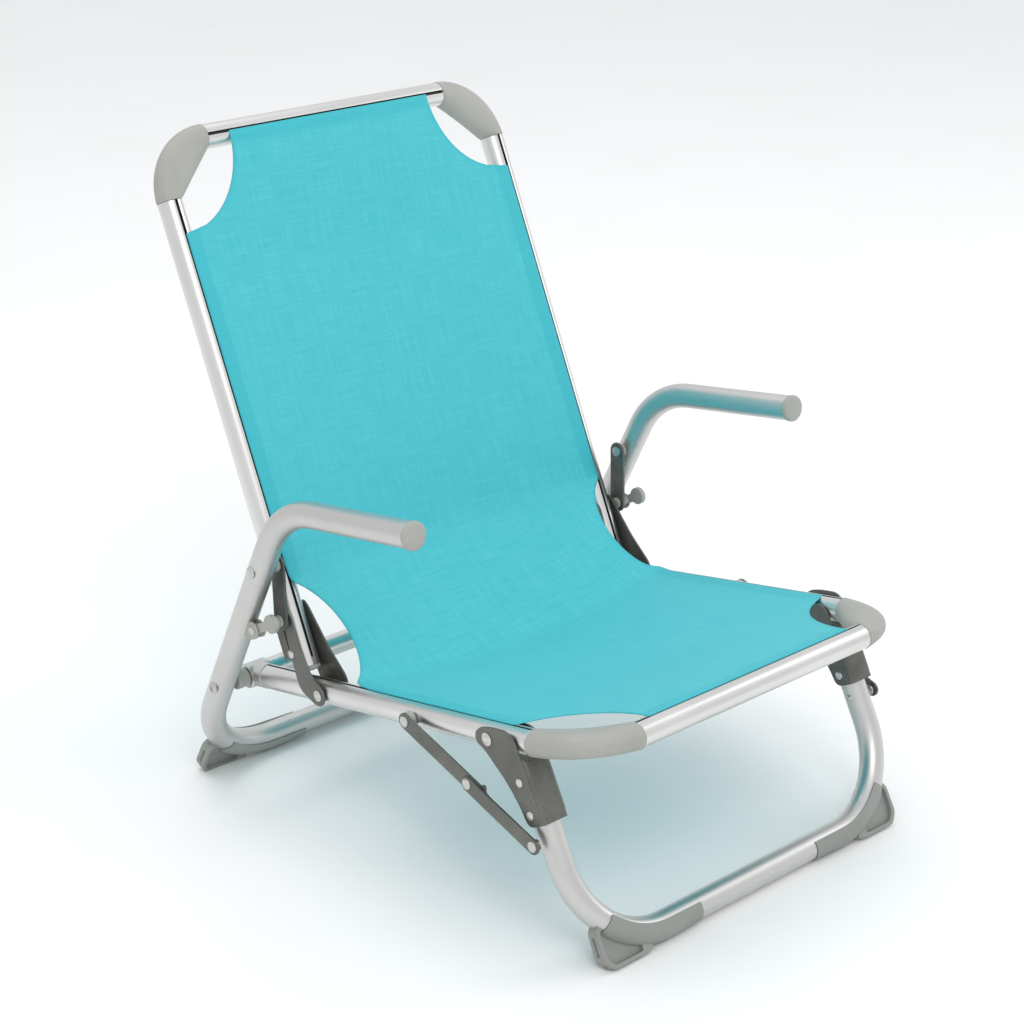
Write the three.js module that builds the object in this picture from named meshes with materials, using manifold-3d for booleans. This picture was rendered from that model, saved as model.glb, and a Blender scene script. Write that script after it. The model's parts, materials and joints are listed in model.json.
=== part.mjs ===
// Low folding beach chair: aluminium tube frame, plastic corners and feet, steel brackets, one sling.
// Millimetres. X runs across the chair (+X is the right-hand side seen from the front), -Y is the
// front, +Z is up. The origin is on the ground, in the middle of the chair's footprint.
// Side-view points are written as [y, z].
import * as THREE from 'three';
import { mergeVertices } from 'three/addons/utils/BufferGeometryUtils.js';
import Module from 'manifold-3d';

const wasm = await Module();
wasm.setup();

// ---------------------------------------------------------------- driving dimensions
const GAP = 0.3;                       // clearance between touching pieces
const ARM_X = 255;                     // middle plane of the arm and rear-leg tube
const RAIL_X = 214;                    // middle plane of the seat rails, stiles and front legs
const ARM_R = 13;                      // arm and rear-leg tube, outer radius
const RAIL_R = 12.5;                   // seat, back and front-leg tubes, outer radius
const ARM_WALL = 1.5;
const RAIL_WALL = 1.6;
const SLOT_W = 3;                      // slot that holds the sling's edge cord
const FITTING_R = 13;                  // plastic corner pieces, outer radius
const PLATE_T = 2;                     // pressed steel brackets
const STRAP_T = 2.5;                   // straps and brace links
const FOOT_WALL = 2;
const TUBE_SIDES = 12;

const ARM_END = [-118, 380];           // front end of the armrest
const ARM_KNEE = [71.5, 350.5];        // where armrest and rear leg would meet without the bend
const REAR_BAR = [240.5, ARM_R + GAP + FOOT_WALL];
const ARM_BEND_R = 95;
const REAR_BEND_R = 100;

const ARM_PIVOT = [181, 127.5];        // rear leg on the seat frame, on the crossbar's axis
const SEAT_FRONT = [-304, 216.5];      // where a side rail and the front rail would meet
const BACK_PIVOT_Y = 59;               // back hinge, on the side rail's axis
const LEG_PIVOT_Y = -188;              // front-leg hinge, on the side rail's axis
const BRACE_TOP_Y = -80;               // folding brace on the side rail's axis
const TOP_CORNER = [314, 652.5];       // where a stile and the top rail would meet
const BACK_LEAN = THREE.MathUtils.degToRad(24.4);

const STRAP_TOP_Z = 277;               // strap pin, on the rear leg's axis
const STRAP_LOW = [107, 217];          // strap pin, just in front of the stile
const LEVER_PIVOT = [121.2, 209];      // catch lever, in front of the rear leg
const LEVER_TIP = [95.5, 223];         // middle of the lever's round finger end

const LEG_TOP = [-225.6, 178];
const FRONT_BAR = [-312, RAIL_R + GAP + FOOT_WALL];
const FRONT_BEND_R = 90;
const BRACE_LOW_Z = 117;               // brace pivot, on the front leg's axis
const BRACE_SPLIT = 0.507;             // share of the open brace that the upper link takes

// layers across the chair, measured from the middle plane
const PLATE_IN = RAIL_R + 1;           // brackets stand 1 mm off the tubes
const PLATE_OUT = PLATE_IN + PLATE_T;
const RIVET_HEAD = 1.8;
const LINK_X = 233.5;                  // inner face of the strap and of the upper brace link

// ---------------------------------------------------------------- materials
const paint = (color, roughness, metalness) => new THREE.MeshStandardMaterial({ color, roughness, metalness });
const aluminium = paint(0xc9c9c4, 0.38, 0.9);
const greyPlastic = paint(0x9d9d96, 0.55, 0);
const darkPlastic = paint(0x8c8e88, 0.6, 0);
const steel = paint(0x5f615c, 0.5, 0.6);
const rivetMetal = paint(0xd8d8d4, 0.3, 1);
const meshCloth = paint(0x56cdd2, 0.8, 0);

// ---------------------------------------------------------------- geometry helpers
const chair = new THREE.Group();

const at = (x, [y, z]) => new THREE.Vector3(x, y, z);
const add = (p, q, k = 1) => [p[0] + k * q[0], p[1] + k * q[1]];
const unit = (p, q) => {
  const length = Math.hypot(q[0] - p[0], q[1] - p[1]);
  return [(q[0] - p[0]) / length, (q[1] - p[1]) / length];
};
const distance = (p, q) => Math.hypot(q[0] - p[0], q[1] - p[1]);

const circlePoints = (radius, sides, cx = 0, cy = 0) => Array.from({ length: sides }, (_, i) => {
  const angle = (2 * Math.PI * i) / sides;
  return new THREE.Vector2(cx + radius * Math.cos(angle), cy + radius * Math.sin(angle));
});

// A path through stations with exact tangents, so that an extrusion steps at each station.
class StationPath extends THREE.Curve {
  constructor(points, tangents) {
    super();
    this.points = points;
    this.tangents = tangents;
  }

  blend(list, t) {
    const place = Math.min(Math.max(t, 0), 1) * (list.length - 1);
    const index = Math.min(Math.floor(place), list.length - 2);
    return list[index].clone().lerp(list[index + 1], place - index);
  }

  getPoint(t) {
    return this.blend(this.points, t);
  }

  getTangent(t) {
    return this.blend(this.tangents, t).normalize();
  }

  getUtoTmapping(u) {
    return u;
  }
}

// Straight runs between corner points, with an arc of the given radius at each inner corner.
function bentPath(corners, radii, degreesPerStep = 15) {
  const points = [corners[0].clone()];
  const tangents = [corners[1].clone().sub(corners[0]).normalize()];
  for (let i = 1; i < corners.length - 1; i += 1) {
    const before = corners[i].clone().sub(corners[i - 1]).normalize();
    const after = corners[i + 1].clone().sub(corners[i]).normalize();
    const turn = before.angleTo(after);
    const radius = radii[i - 1];
    const start = corners[i].clone().addScaledVector(before, -radius * Math.tan(turn / 2));
    const inward = after.clone().addScaledVector(before, -after.dot(before)).normalize();
    const centre = start.clone().addScaledVector(inward, radius);
    const steps = Math.max(2, Math.ceil(THREE.MathUtils.radToDeg(turn) / degreesPerStep));
    for (let k = 0; k <= steps; k += 1) {
      const angle = (turn * k) / steps;
      points.push(centre.clone()
        .addScaledVector(inward, -radius * Math.cos(angle))
        .addScaledVector(before, radius * Math.sin(angle)));
      tangents.push(before.clone().multiplyScalar(Math.cos(angle)).addScaledVector(inward, Math.sin(angle)));
    }
  }
  points.push(corners.at(-1).clone());
  tangents.push(corners.at(-1).clone().sub(corners.at(-2)).normalize());
  return new StationPath(points, tangents);
}

function sweep(path, radius, innerRadius = 0, sides = TUBE_SIDES) {
  const shape = new THREE.Shape(circlePoints(radius, sides));
  if (innerRadius > 0) shape.holes.push(new THREE.Path(circlePoints(innerRadius, sides).reverse()));
  const steps = path.points.length - 1;
  return new THREE.ExtrudeGeometry(shape, { steps, bevelEnabled: false, extrudePath: path });
}

// Rotation that takes local X, Y, Z to the three given directions.
function turnTo(xAxis, yAxis, zAxis) {
  return new THREE.Matrix4().makeBasis(xAxis, yAxis, zAxis);
}
const SIDE_VIEW = turnTo(new THREE.Vector3(0, 1, 0), new THREE.Vector3(0, 0, 1), new THREE.Vector3(1, 0, 0));

// A flat plate drawn in side view and standing between two planes across the chair.
function plate(outline, x1, x2, holes = []) {
  const shape = new THREE.Shape(THREE.ShapeUtils.isClockWise(outline) ? [...outline].reverse() : outline);
  holes.forEach(([centre, radius]) => {
    shape.holes.push(new THREE.Path(circlePoints(radius, 10, centre[0], centre[1]).reverse()));
  });
  const low = Math.min(x1, x2);
  const geometry = new THREE.ExtrudeGeometry(shape, {
    depth: Math.abs(x2 - x1), bevelEnabled: false, curveSegments: 5,
  });
  return geometry.applyMatrix4(SIDE_VIEW).translate(low, 0, 0);
}

// The outline round a chain of circles, each given as [centre, radius]: a link with round ends.
function linkOutline(a, ra, b, rb, arcSteps = 5) {
  const heading = Math.atan2(b[1] - a[1], b[0] - a[0]);
  const lean = Math.asin((ra - rb) / distance(a, b));
  const outline = [];
  const arc = (centre, radius, from, to) => {
    for (let i = 0; i <= arcSteps; i += 1) {
      const angle = from + ((to - from) * i) / arcSteps;
      outline.push(new THREE.Vector2(centre[0] + radius * Math.cos(angle), centre[1] + radius * Math.sin(angle)));
    }
  };
  const quarter = Math.PI / 2;
  arc(b, rb, heading - quarter + lean, heading + quarter - lean);
  arc(a, ra, heading + quarter - lean, heading + 3 * quarter + lean);
  return outline;
}

// A turned piece whose axis runs across the chair, from x1 to x2: profile is [x, radius] pairs.
function turned(profile, centre, sides = 8) {
  const ordered = profile[0][0] < profile.at(-1)[0] ? profile : [...profile].reverse();
  const points = ordered.map(([x, radius]) => new THREE.Vector2(radius, x));
  points.unshift(new THREE.Vector2(0, ordered[0][0]));
  points.push(new THREE.Vector2(0, ordered.at(-1)[0]));
  const geometry = new THREE.LatheGeometry(points, sides);
  const across = turnTo(new THREE.Vector3(0, 1, 0), new THREE.Vector3(1, 0, 0), new THREE.Vector3(0, 0, -1));
  return geometry.applyMatrix4(across).translate(0, centre[0], centre[1]);
}

const rod = (x1, x2, radius, centre, sides = 10) => turned([[x1, radius], [x2, radius]], centre, sides);

function washer(x1, x2, outer, inner, centre, sides = 12) {
  return plate(circlePoints(outer, sides, centre[0], centre[1]), x1, x2, [[centre, inner]]);
}

function solid(geometry) {
  const bare = geometry.clone();
  bare.deleteAttribute('normal');
  bare.deleteAttribute('uv');
  const merged = mergeVertices(bare, 1e-4);
  const vertProperties = new Float32Array(merged.attributes.position.array);
  const triVerts = new Uint32Array(merged.index.array);
  return new wasm.Manifold(new wasm.Mesh({ numProp: 3, vertProperties, triVerts }));
}

function fromSolid(manifold) {
  const mesh = manifold.getMesh();
  const geometry = new THREE.BufferGeometry();
  geometry.setAttribute('position', new THREE.BufferAttribute(new Float32Array(mesh.vertProperties), 3));
  geometry.setIndex(new THREE.BufferAttribute(new Uint32Array(mesh.triVerts), 1));
  geometry.computeVertexNormals();
  return geometry;
}

const joined = (...geometries) => geometries.map(solid).reduce((a, b) => a.add(b));
const without = (manifold, ...cutters) => cutters.map(solid).reduce((a, b) => a.subtract(b), manifold);

function piece(name, geometry, material, parent = chair) {
  const mesh = new THREE.Mesh(geometry instanceof THREE.BufferGeometry ? geometry : fromSolid(geometry), material);
  mesh.name = name;
  parent.add(mesh);
  return mesh;
}

// ---------------------------------------------------------------- side-view lines
const SEAT_DIR = unit(SEAT_FRONT, ARM_PIVOT);              // rearward along a side rail
const SEAT_UP = [-SEAT_DIR[1], SEAT_DIR[0]];               // out of the seat, where the slots face
const onRail = (y) => add(SEAT_FRONT, SEAT_DIR, (y - SEAT_FRONT[0]) / SEAT_DIR[0]);
const BACK_DIR = [Math.sin(BACK_LEAN), Math.cos(BACK_LEAN)];
const BACK_OUT = [-BACK_DIR[1], BACK_DIR[0]];              // out of the back's face
const onStile = (fromTop) => add(TOP_CORNER, BACK_DIR, -fromTop);
const REAR_LEG_DIR = unit(ARM_KNEE, REAR_BAR);
const ARM_DIR = unit(ARM_KNEE, ARM_END);
const LEG_DIR = unit(LEG_TOP, FRONT_BAR);
const onRearLeg = (z) => add(ARM_KNEE, REAR_LEG_DIR, (z - ARM_KNEE[1]) / REAR_LEG_DIR[1]);
const onLeg = (z) => add(LEG_TOP, LEG_DIR, (z - LEG_TOP[1]) / LEG_DIR[1]);

const BACK_PIVOT = onRail(BACK_PIVOT_Y);
const LEG_PIVOT = onRail(LEG_PIVOT_Y);
const BRACE_TOP = onRail(BRACE_TOP_Y);
const BRACE_LOW = onLeg(BRACE_LOW_Z);
const BRACE_MID = add(BRACE_TOP, unit(BRACE_TOP, BRACE_LOW), BRACE_SPLIT * distance(BRACE_TOP, BRACE_LOW));
const STRAP_TOP = onRearLeg(STRAP_TOP_Z);
const STILE_RIVET = onStile((TOP_CORNER[1] - 181) / BACK_DIR[1]);

// ---------------------------------------------------------------- slotted rails
const RAIL_REAR_Y = 157;               // rear end of a side rail, where its end fitting starts
const FRONT_ELBOW = { side: 71, front: 59 };
const TOP_ELBOW = { side: 57, top: 59 };
const STILE_LENGTH_FROM_TOP = 534;     // top corner to the stile's cut lower end

// Tube with a slot along it: local Z is the axis, local Y is the way the slot faces.
function slottedTube(length) {
  const outer = [];
  const inner = [];
  const start = Math.PI / 2 + Math.asin(SLOT_W / 2 / RAIL_R);
  const innerStart = Math.PI / 2 + Math.asin(SLOT_W / 2 / (RAIL_R - RAIL_WALL));
  const steps = TUBE_SIDES;
  for (let i = 0; i <= steps; i += 1) {
    const t = i / steps;
    const a = start + t * (2 * Math.PI - 2 * (start - Math.PI / 2));
    const b = innerStart + t * (2 * Math.PI - 2 * (innerStart - Math.PI / 2));
    outer.push(new THREE.Vector2(RAIL_R * Math.cos(a), RAIL_R * Math.sin(a)));
    inner.push(new THREE.Vector2((RAIL_R - RAIL_WALL) * Math.cos(b), (RAIL_R - RAIL_WALL) * Math.sin(b)));
  }
  return new THREE.ExtrudeGeometry(new THREE.Shape([...outer, ...inner.reverse()]), {
    depth: length, bevelEnabled: false,
  });
}

function railFrom(start, end, slotFacing) {
  const along = end.clone().sub(start);
  const length = along.length();
  along.normalize();
  const sideways = slotFacing.clone().cross(along);
  const matrix = turnTo(sideways, slotFacing, along).setPosition(start);
  return slottedTube(length).applyMatrix4(matrix);
}

// Cutter for a pin hole across a tube, both walls.
const pinHole = (side, middle, radius, centre) => rod(side * middle - 20, side * middle + 20, radius, centre, 10);
const PIN_R = 4;
const HOLE_R = PIN_R + GAP;

function addSideRail(side, suffix) {
  const front = add(SEAT_FRONT, SEAT_DIR, FRONT_ELBOW.side);
  const rear = onRail(RAIL_REAR_Y);
  const rail = solid(railFrom(at(side * RAIL_X, front), at(side * RAIL_X, rear), at(0, SEAT_UP)));
  const holes = [BACK_PIVOT, LEG_PIVOT, BRACE_TOP].map((centre) => pinHole(side, RAIL_X, HOLE_R, centre));
  piece(`seat_rail_${suffix}`, without(rail, ...holes), aluminium);
}

function addStile(side, suffix) {
  const low = onStile(STILE_LENGTH_FROM_TOP);
  const high = onStile(TOP_ELBOW.side);
  const stile = solid(railFrom(at(side * RAIL_X, low), at(side * RAIL_X, high), at(0, BACK_OUT)));
  const hole = pinHole(side, RAIL_X, 3 + GAP, STILE_RIVET);
  piece(`back_stile_${suffix}`, without(stile, hole), aluminium);
}

function addCrossRails() {
  const frontHalf = RAIL_X - FRONT_ELBOW.front;
  piece('front_rail', railFrom(at(-frontHalf, SEAT_FRONT), at(frontHalf, SEAT_FRONT), at(0, SEAT_UP)), aluminium);
  const topHalf = RAIL_X - TOP_ELBOW.top;
  piece('top_rail', railFrom(at(-topHalf, TOP_CORNER), at(topHalf, TOP_CORNER), at(0, BACK_OUT)), aluminium);
}

// ---------------------------------------------------------------- plastic corners and plugs
const STEM_R = RAIL_R - RAIL_WALL - 0.5;
const STEM_LENGTH = 18;

// Corner piece between a side tube and a cross tube. `down` points along the side tube.
function elbow(side, corner, down, sideLeg, crossLeg) {
  const sideEnd = at(side * RAIL_X, add(corner, down, sideLeg - GAP));
  const sideStem = at(side * RAIL_X, add(corner, down, sideLeg + STEM_LENGTH));
  const crossEnd = at(side * (RAIL_X - crossLeg + GAP), corner);
  const crossStem = at(side * (RAIL_X - crossLeg - STEM_LENGTH), corner);
  const middle = at(side * RAIL_X, corner);
  const radius = Math.min(sideLeg, crossLeg) - 2;
  const bend = sweep(bentPath([sideEnd, middle, crossEnd], [radius], 18), FITTING_R);
  const stem = sweep(bentPath([sideStem, middle, crossStem], [radius], 18), STEM_R);

  // web that fills the inner corner up to a straight edge
  const inset = FITTING_R - 1.5;
  const thickness = 18;
  const web = new THREE.Shape([
    new THREE.Vector2(-inset, sideLeg - GAP), new THREE.Vector2(-4, sideLeg - GAP),
    new THREE.Vector2(-16, 16), new THREE.Vector2(-crossLeg + GAP, 4), new THREE.Vector2(-crossLeg + GAP, inset),
  ]);
  const across = at(side, [0, 0]);
  const along = at(0, down);
  const facing = across.clone().cross(along);
  const slab = new THREE.ExtrudeGeometry(web, { depth: thickness, bevelEnabled: false });
  slab.translate(0, 0, -thickness / 2);
  slab.applyMatrix4(turnTo(across, along, facing).setPosition(middle));
  return joined(bend, stem, slab);
}

function addElbows(side, suffix) {
  const frontElbow = elbow(side, SEAT_FRONT, SEAT_DIR, FRONT_ELBOW.side, FRONT_ELBOW.front);
  piece(`front_elbow_${suffix}`, frontElbow, greyPlastic);
  const down = [-BACK_DIR[0], -BACK_DIR[1]];
  piece(`top_elbow_${suffix}`, elbow(side, TOP_CORNER, down, TOP_ELBOW.side, TOP_ELBOW.top), greyPlastic);
}

// A round plug at a tube's end: a head outside and a stem inside. `out` points out of the tube.
function endPlug(x, tubeEnd, out, headProfile, stemRadius, stemLength) {
  const profile = [[0, -stemLength], [stemRadius, -stemLength], [stemRadius, GAP], ...headProfile, [0, headProfile.at(-1)[1]]];
  const lathe = new THREE.LatheGeometry(profile.map(([r, h]) => new THREE.Vector2(r, h)), TUBE_SIDES);
  const outward = at(0, out);
  const across = new THREE.Vector3(1, 0, 0);
  const third = across.clone().cross(outward);
  return lathe.applyMatrix4(turnTo(across, outward, third).setPosition(at(x, tubeEnd)));
}

function addPlugs(side, suffix) {
  const armHead = [[14.5, GAP], [14.5, 4], [12.5, 6]];
  piece(`arm_cap_${suffix}`, endPlug(side * ARM_X, ARM_END, ARM_DIR, armHead, ARM_R - ARM_WALL - GAP, 16), greyPlastic);
  const down = [-BACK_DIR[0], -BACK_DIR[1]];
  const stileHead = [[RAIL_R, GAP], [RAIL_R, 3.5], [RAIL_R - 2, 5]];
  const end = onStile(STILE_LENGTH_FROM_TOP);
  piece(`stile_cap_${suffix}`, endPlug(side * RAIL_X, end, down, stileHead, STEM_R, 8), greyPlastic);
}

// ---------------------------------------------------------------- rear end of the seat frame
const CROSSBAR_R = 11;
const BOLT_R = 3.5;

function addRearCrossbar() {
  const half = RAIL_X - FITTING_R - 2 * GAP;
  const tube = circlePoints(CROSSBAR_R, TUBE_SIDES, ARM_PIVOT[0], ARM_PIVOT[1]);
  piece('rear_crossbar', plate(tube, -half, half, [[ARM_PIVOT, CROSSBAR_R - 1.5]]), aluminium);
}

function addRailEnd(side, suffix) {
  const railEnd = add(onRail(RAIL_REAR_Y), SEAT_DIR, GAP);
  const stemStart = add(railEnd, SEAT_DIR, -STEM_LENGTH);
  const x = side * RAIL_X;
  const body = sweep(bentPath([at(x, railEnd), at(x, add(ARM_PIVOT, SEAT_DIR, 2))], []), FITTING_R);
  const stem = sweep(bentPath([at(x, stemStart), at(x, add(railEnd, SEAT_DIR, 5))], []), STEM_R);
  const hub = rod(side * (RAIL_X - FITTING_R), side * (RAIL_X + FITTING_R), FITTING_R + 1, ARM_PIVOT, 14);
  const bore = rod(side * (RAIL_X - 30), side * (RAIL_X + 30), BOLT_R + GAP, ARM_PIVOT, 10);
  piece(`rail_end_${suffix}`, without(joined(body, stem, hub), bore), greyPlastic);
}

function addArmPivot(side, suffix) {
  const inner = RAIL_X + FITTING_R + GAP;
  const outer = ARM_X - ARM_R - GAP;
  piece(`arm_spacer_${suffix}`, washer(side * inner, side * outer, 11, BOLT_R + GAP, ARM_PIVOT), greyPlastic);
  const head = ARM_X + ARM_R + GAP;
  piece(`arm_bolt_${suffix}`, turned([
    [side * (RAIL_X - 24), BOLT_R], [side * head, BOLT_R], [side * head, 6.5],
    [side * (head + 1), 6.5], [side * (head + 2.5), 3.5],
  ], ARM_PIVOT), rivetMetal);
}

// ---------------------------------------------------------------- arm and rear-leg tube
function armPath() {
  const side = (sign) => [at(sign * ARM_X, ARM_END), at(sign * ARM_X, ARM_KNEE), at(sign * ARM_X, REAR_BAR)];
  const corners = [...side(-1), ...side(1).reverse()];
  return bentPath(corners, [ARM_BEND_R, REAR_BEND_R, REAR_BEND_R, ARM_BEND_R]);
}

function addArmTube() {
  const tube = solid(sweep(armPath(), ARM_R, ARM_R - ARM_WALL));
  const holes = [-1, 1].flatMap((side) => [
    pinHole(side, ARM_X, BOLT_R + GAP, ARM_PIVOT),
    pinHole(side, ARM_X, HOLE_R, STRAP_TOP),
  ]);
  piece('arm_and_rear_leg_tube', without(tube, ...holes), aluminium);
}

// ---------------------------------------------------------------- feet
// A shell round the outside of a floor bend, with a fin that fills the corner down to the ground.
function foot(side, x, legTop, bar, bendRadius, tubeRadius, reach) {
  const legDir = unit(bar, legTop);
  const leg = at(side * x, add(bar, legDir, bendRadius + 20));
  const corner = at(side * x, bar);
  const inboard = at(side * (x - reach), bar);
  const path = bentPath([leg, corner, inboard], [bendRadius]);
  const shell = solid(sweep(path, tubeRadius + GAP + FOOT_WALL, 0, 14));
  const tubeRoom = sweep(path, (tubeRadius + GAP) / Math.cos(Math.PI / TUBE_SIDES));

  // local axes of the bend's plane: u runs outboard from the corner, w runs up the leg
  const across = at(side, [0, 0]);
  const upLeg = at(0, legDir);
  const facing = across.clone().cross(upLeg);
  const toPlane = turnTo(across, upLeg, facing).setPosition(corner);
  const flat = (outline, thickness) => new THREE.ExtrudeGeometry(
    new THREE.Shape(outline.map(([u, w]) => new THREE.Vector2(u, w))),
    { depth: thickness, bevelEnabled: false },
  ).translate(0, 0, -thickness / 2).applyMatrix4(toPlane);

  const ground = -bar[1] / legDir[1];
  const fin = flat([[-64, ground - 8], [-15, ground - 8], [-7, -6], [-8, 22], [-16, 29], [-38, 12], [-60, 1]], 13);
  const legCut = flat([[-60, 31], [60, 31], [60, 240], [-60, 240]], 80);
  const lip = 4;
  const openSide = [[-reach - 10, lip]];
  for (let angle = 0; angle <= 90; angle += 15) {
    const a = THREE.MathUtils.degToRad(angle);
    openSide.push([
      -bendRadius + (bendRadius - lip) * Math.sin(a), bendRadius - (bendRadius - lip) * Math.cos(a),
    ]);
  }
  openSide.push([-lip, 220], [-reach - 10, 220]);
  const belowGround = new THREE.BoxGeometry(800, 300, 60).translate(0, bar[0], -30);
  return without(shell.add(solid(fin)), tubeRoom, legCut, flat(openSide, 80), belowGround);
}

function addFeet(side, suffix) {
  const rear = foot(side, ARM_X, ARM_KNEE, REAR_BAR, REAR_BEND_R, ARM_R, 138);
  piece(`rear_foot_${suffix}`, rear, darkPlastic);
  const front = foot(side, RAIL_X, LEG_TOP, FRONT_BAR, FRONT_BEND_R, RAIL_R, 132);
  piece(`front_foot_${suffix}`, front, darkPlastic);
}

// ---------------------------------------------------------------- back hinge bracket
// The same pressed channel is used on both sides: the plate towards -X is narrow and the plate
// towards +X is a wide gusset. A web behind the stile joins them.
function addHingeBracket(side, suffix) {
  const narrow = [
    [113, 222], [107, 227], [99, 223], [86, 190], [68, 166], [52, 158], [49, 149], [53, 140.5],
    [62, 138.5], [88, 147], [102, 183],
  ];
  const wide = [
    [127, 222], [116, 227], [108, 222], [78, 188], [50, 164], [47, 150], [52, 140.5],
    [62, 138.5], [92, 148], [119, 208],
  ];
  const toVectors = (outline) => outline.map(([y, z]) => new THREE.Vector2(y, z));
  const pins = [[BACK_PIVOT, HOLE_R]];
  const x = side * RAIL_X;
  const nearPlate = plate(toVectors(narrow), x - PLATE_IN, x - PLATE_OUT, pins);
  const farPlate = plate(toVectors(wide), x + PLATE_IN, x + PLATE_OUT, pins);

  const behind = (z, off) => add(onStile((TOP_CORNER[1] - z) / BACK_DIR[1]), BACK_OUT, -off);
  const webFront = RAIL_R + 0.8;
  const web = [behind(176, webFront), behind(206, webFront), behind(206, webFront + PLATE_T),
    behind(176, webFront + PLATE_T)].map(([y, z]) => new THREE.Vector2(y, z));
  const bridge = plate(web, x - PLATE_OUT, x + PLATE_OUT);
  const ear = [behind(176, webFront + PLATE_T), behind(176, -2), behind(206, -2), behind(206, webFront + PLATE_T)]
    .map(([y, z]) => new THREE.Vector2(y, z));
  const nearEar = plate(ear, x - PLATE_IN, x - PLATE_OUT);
  const farEar = plate(ear, x + PLATE_IN, x + PLATE_OUT);
  const rivet = turned([
    [x - PLATE_OUT - RIVET_HEAD, 3], [x - PLATE_OUT - 0.4, 5], [x - PLATE_OUT + 0.1, 5], [x - PLATE_OUT + 0.1, 3],
    [x + PLATE_OUT - 0.1, 3], [x + PLATE_OUT - 0.1, 5], [x + PLATE_OUT + 0.4, 5], [x + PLATE_OUT + RIVET_HEAD, 3],
  ], STILE_RIVET);
  piece(`hinge_bracket_${suffix}`, joined(nearPlate, farPlate, bridge, nearEar, farEar, rivet), steel);
}

// A rivet through a rail and the plates on both sides of it.
function platePin(side, reachIn, reachOut, centre) {
  const head = (face, way) => [[side * (RAIL_X + face), 6], [side * (RAIL_X + face + way * 0.8), 6],
    [side * (RAIL_X + face + way * RIVET_HEAD), 3.5]];
  const inner = head(-reachIn - GAP, -1).reverse();
  const outer = head(reachOut + GAP, 1);
  return turned([
    ...inner, [side * (RAIL_X - reachIn - GAP), PIN_R], [side * (RAIL_X + reachOut + GAP), PIN_R], ...outer,
  ], centre);
}

// ---------------------------------------------------------------- straps and their pins
const STRAP_W = 20;

function addStrap(side, suffix) {
  const outline = linkOutline(STRAP_TOP, STRAP_W / 2, STRAP_LOW, STRAP_W / 2);
  const strap = plate(outline, side * LINK_X, side * (LINK_X + STRAP_T), [[STRAP_TOP, HOLE_R], [STRAP_LOW, HOLE_R]]);
  piece(`strap_${suffix}`, strap, steel);

  const face = ARM_X + ARM_R + GAP;
  piece(`strap_top_pin_${suffix}`, turned([
    [side * (LINK_X - GAP - 1.6), 5.5], [side * (LINK_X - GAP), 5.5], [side * (LINK_X - GAP), PIN_R],
    [side * face, PIN_R], [side * face, 6], [side * (face + 0.8), 6], [side * (face + 2), 3.5],
  ], STRAP_TOP), rivetMetal);
  const spacerIn = LINK_X + STRAP_T + GAP;
  piece(`strap_spacer_${suffix}`, washer(
    side * spacerIn, side * (ARM_X - ARM_R - GAP), 7, HOLE_R, STRAP_TOP,
  ), greyPlastic);

  // the lower pin rides in the strap and stops just short of the hinge bracket
  const start = RAIL_X + PLATE_OUT + RIVET_HEAD + GAP;
  piece(`strap_low_pin_${suffix}`, turned([
    [side * start, 6], [side * (LINK_X - GAP), 6], [side * (LINK_X - GAP), PIN_R],
    [side * (spacerIn), PIN_R], [side * spacerIn, 6], [side * (spacerIn + 1.5), 6], [side * (spacerIn + 1.5), PIN_R],
    [side * (ARM_X - 6), PIN_R],
  ], STRAP_LOW), greyPlastic);
}

// ---------------------------------------------------------------- catch lever on the rear leg
const LEVER_T = 6;
const LUG_T = 2.2;

function addLever(side, suffix) {
  const x = side * ARM_X;
  const cheek = LEVER_T / 2 + GAP;
  const towardTube = [-REAR_LEG_DIR[1], REAR_LEG_DIR[0]];
  const besideHub = (along, off) => add(add(LEVER_PIVOT, REAR_LEG_DIR, along), towardTube, off);
  const eye = linkOutline(LEVER_PIVOT, 9, besideHub(5, 1), 9);
  const saddle = [besideHub(6.5, -3), besideHub(12, -3), besideHub(12, 9), besideHub(6.5, 9)]
    .map(([y, z]) => new THREE.Vector2(y, z));
  const tubeRoom = sweep(bentPath([
    at(x, onRearLeg(260)), at(x, onRearLeg(160)),
  ], []), ARM_R + GAP, 0, 16);
  const bore = rod(x - 20, x + 20, 2.5 + GAP, LEVER_PIVOT, 8);
  const lug = joined(
    plate(eye, x - cheek, x - cheek - LUG_T),
    plate(eye, x + cheek, x + cheek + LUG_T),
    plate(saddle, x - cheek - LUG_T, x + cheek + LUG_T),
  );
  piece(`lever_lug_${suffix}`, without(lug, tubeRoom, bore), greyPlastic);

  const body = joined(
    plate(linkOutline(LEVER_PIVOT, 5.5, LEVER_TIP, 5.5), x - LEVER_T / 2, x + LEVER_T / 2),
    plate(circlePoints(9.5, 14, LEVER_TIP[0], LEVER_TIP[1]), x - LEVER_T / 2, x + LEVER_T / 2),
  );
  piece(`catch_lever_${suffix}`, without(body, bore), greyPlastic);
  const outer = cheek + LUG_T + GAP;
  piece(`lever_pin_${suffix}`, turned([
    [x - outer - 1.5, 2.5], [x - outer - 0.5, 4], [x - outer, 4], [x - outer, 2.5],
    [x + outer, 2.5], [x + outer, 4], [x + outer + 0.5, 4], [x + outer + 1.5, 2.5],
  ], LEVER_PIVOT, 8), rivetMetal);
}

// ---------------------------------------------------------------- front leg
function addFrontLegTube() {
  const side = (sign) => [at(sign * RAIL_X, LEG_TOP), at(sign * RAIL_X, FRONT_BAR)];
  const path = bentPath([...side(-1), ...side(1).reverse()], [FRONT_BEND_R, FRONT_BEND_R]);
  piece('front_leg_tube', sweep(path, RAIL_R, RAIL_R - RAIL_WALL), aluminium);
}

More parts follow.
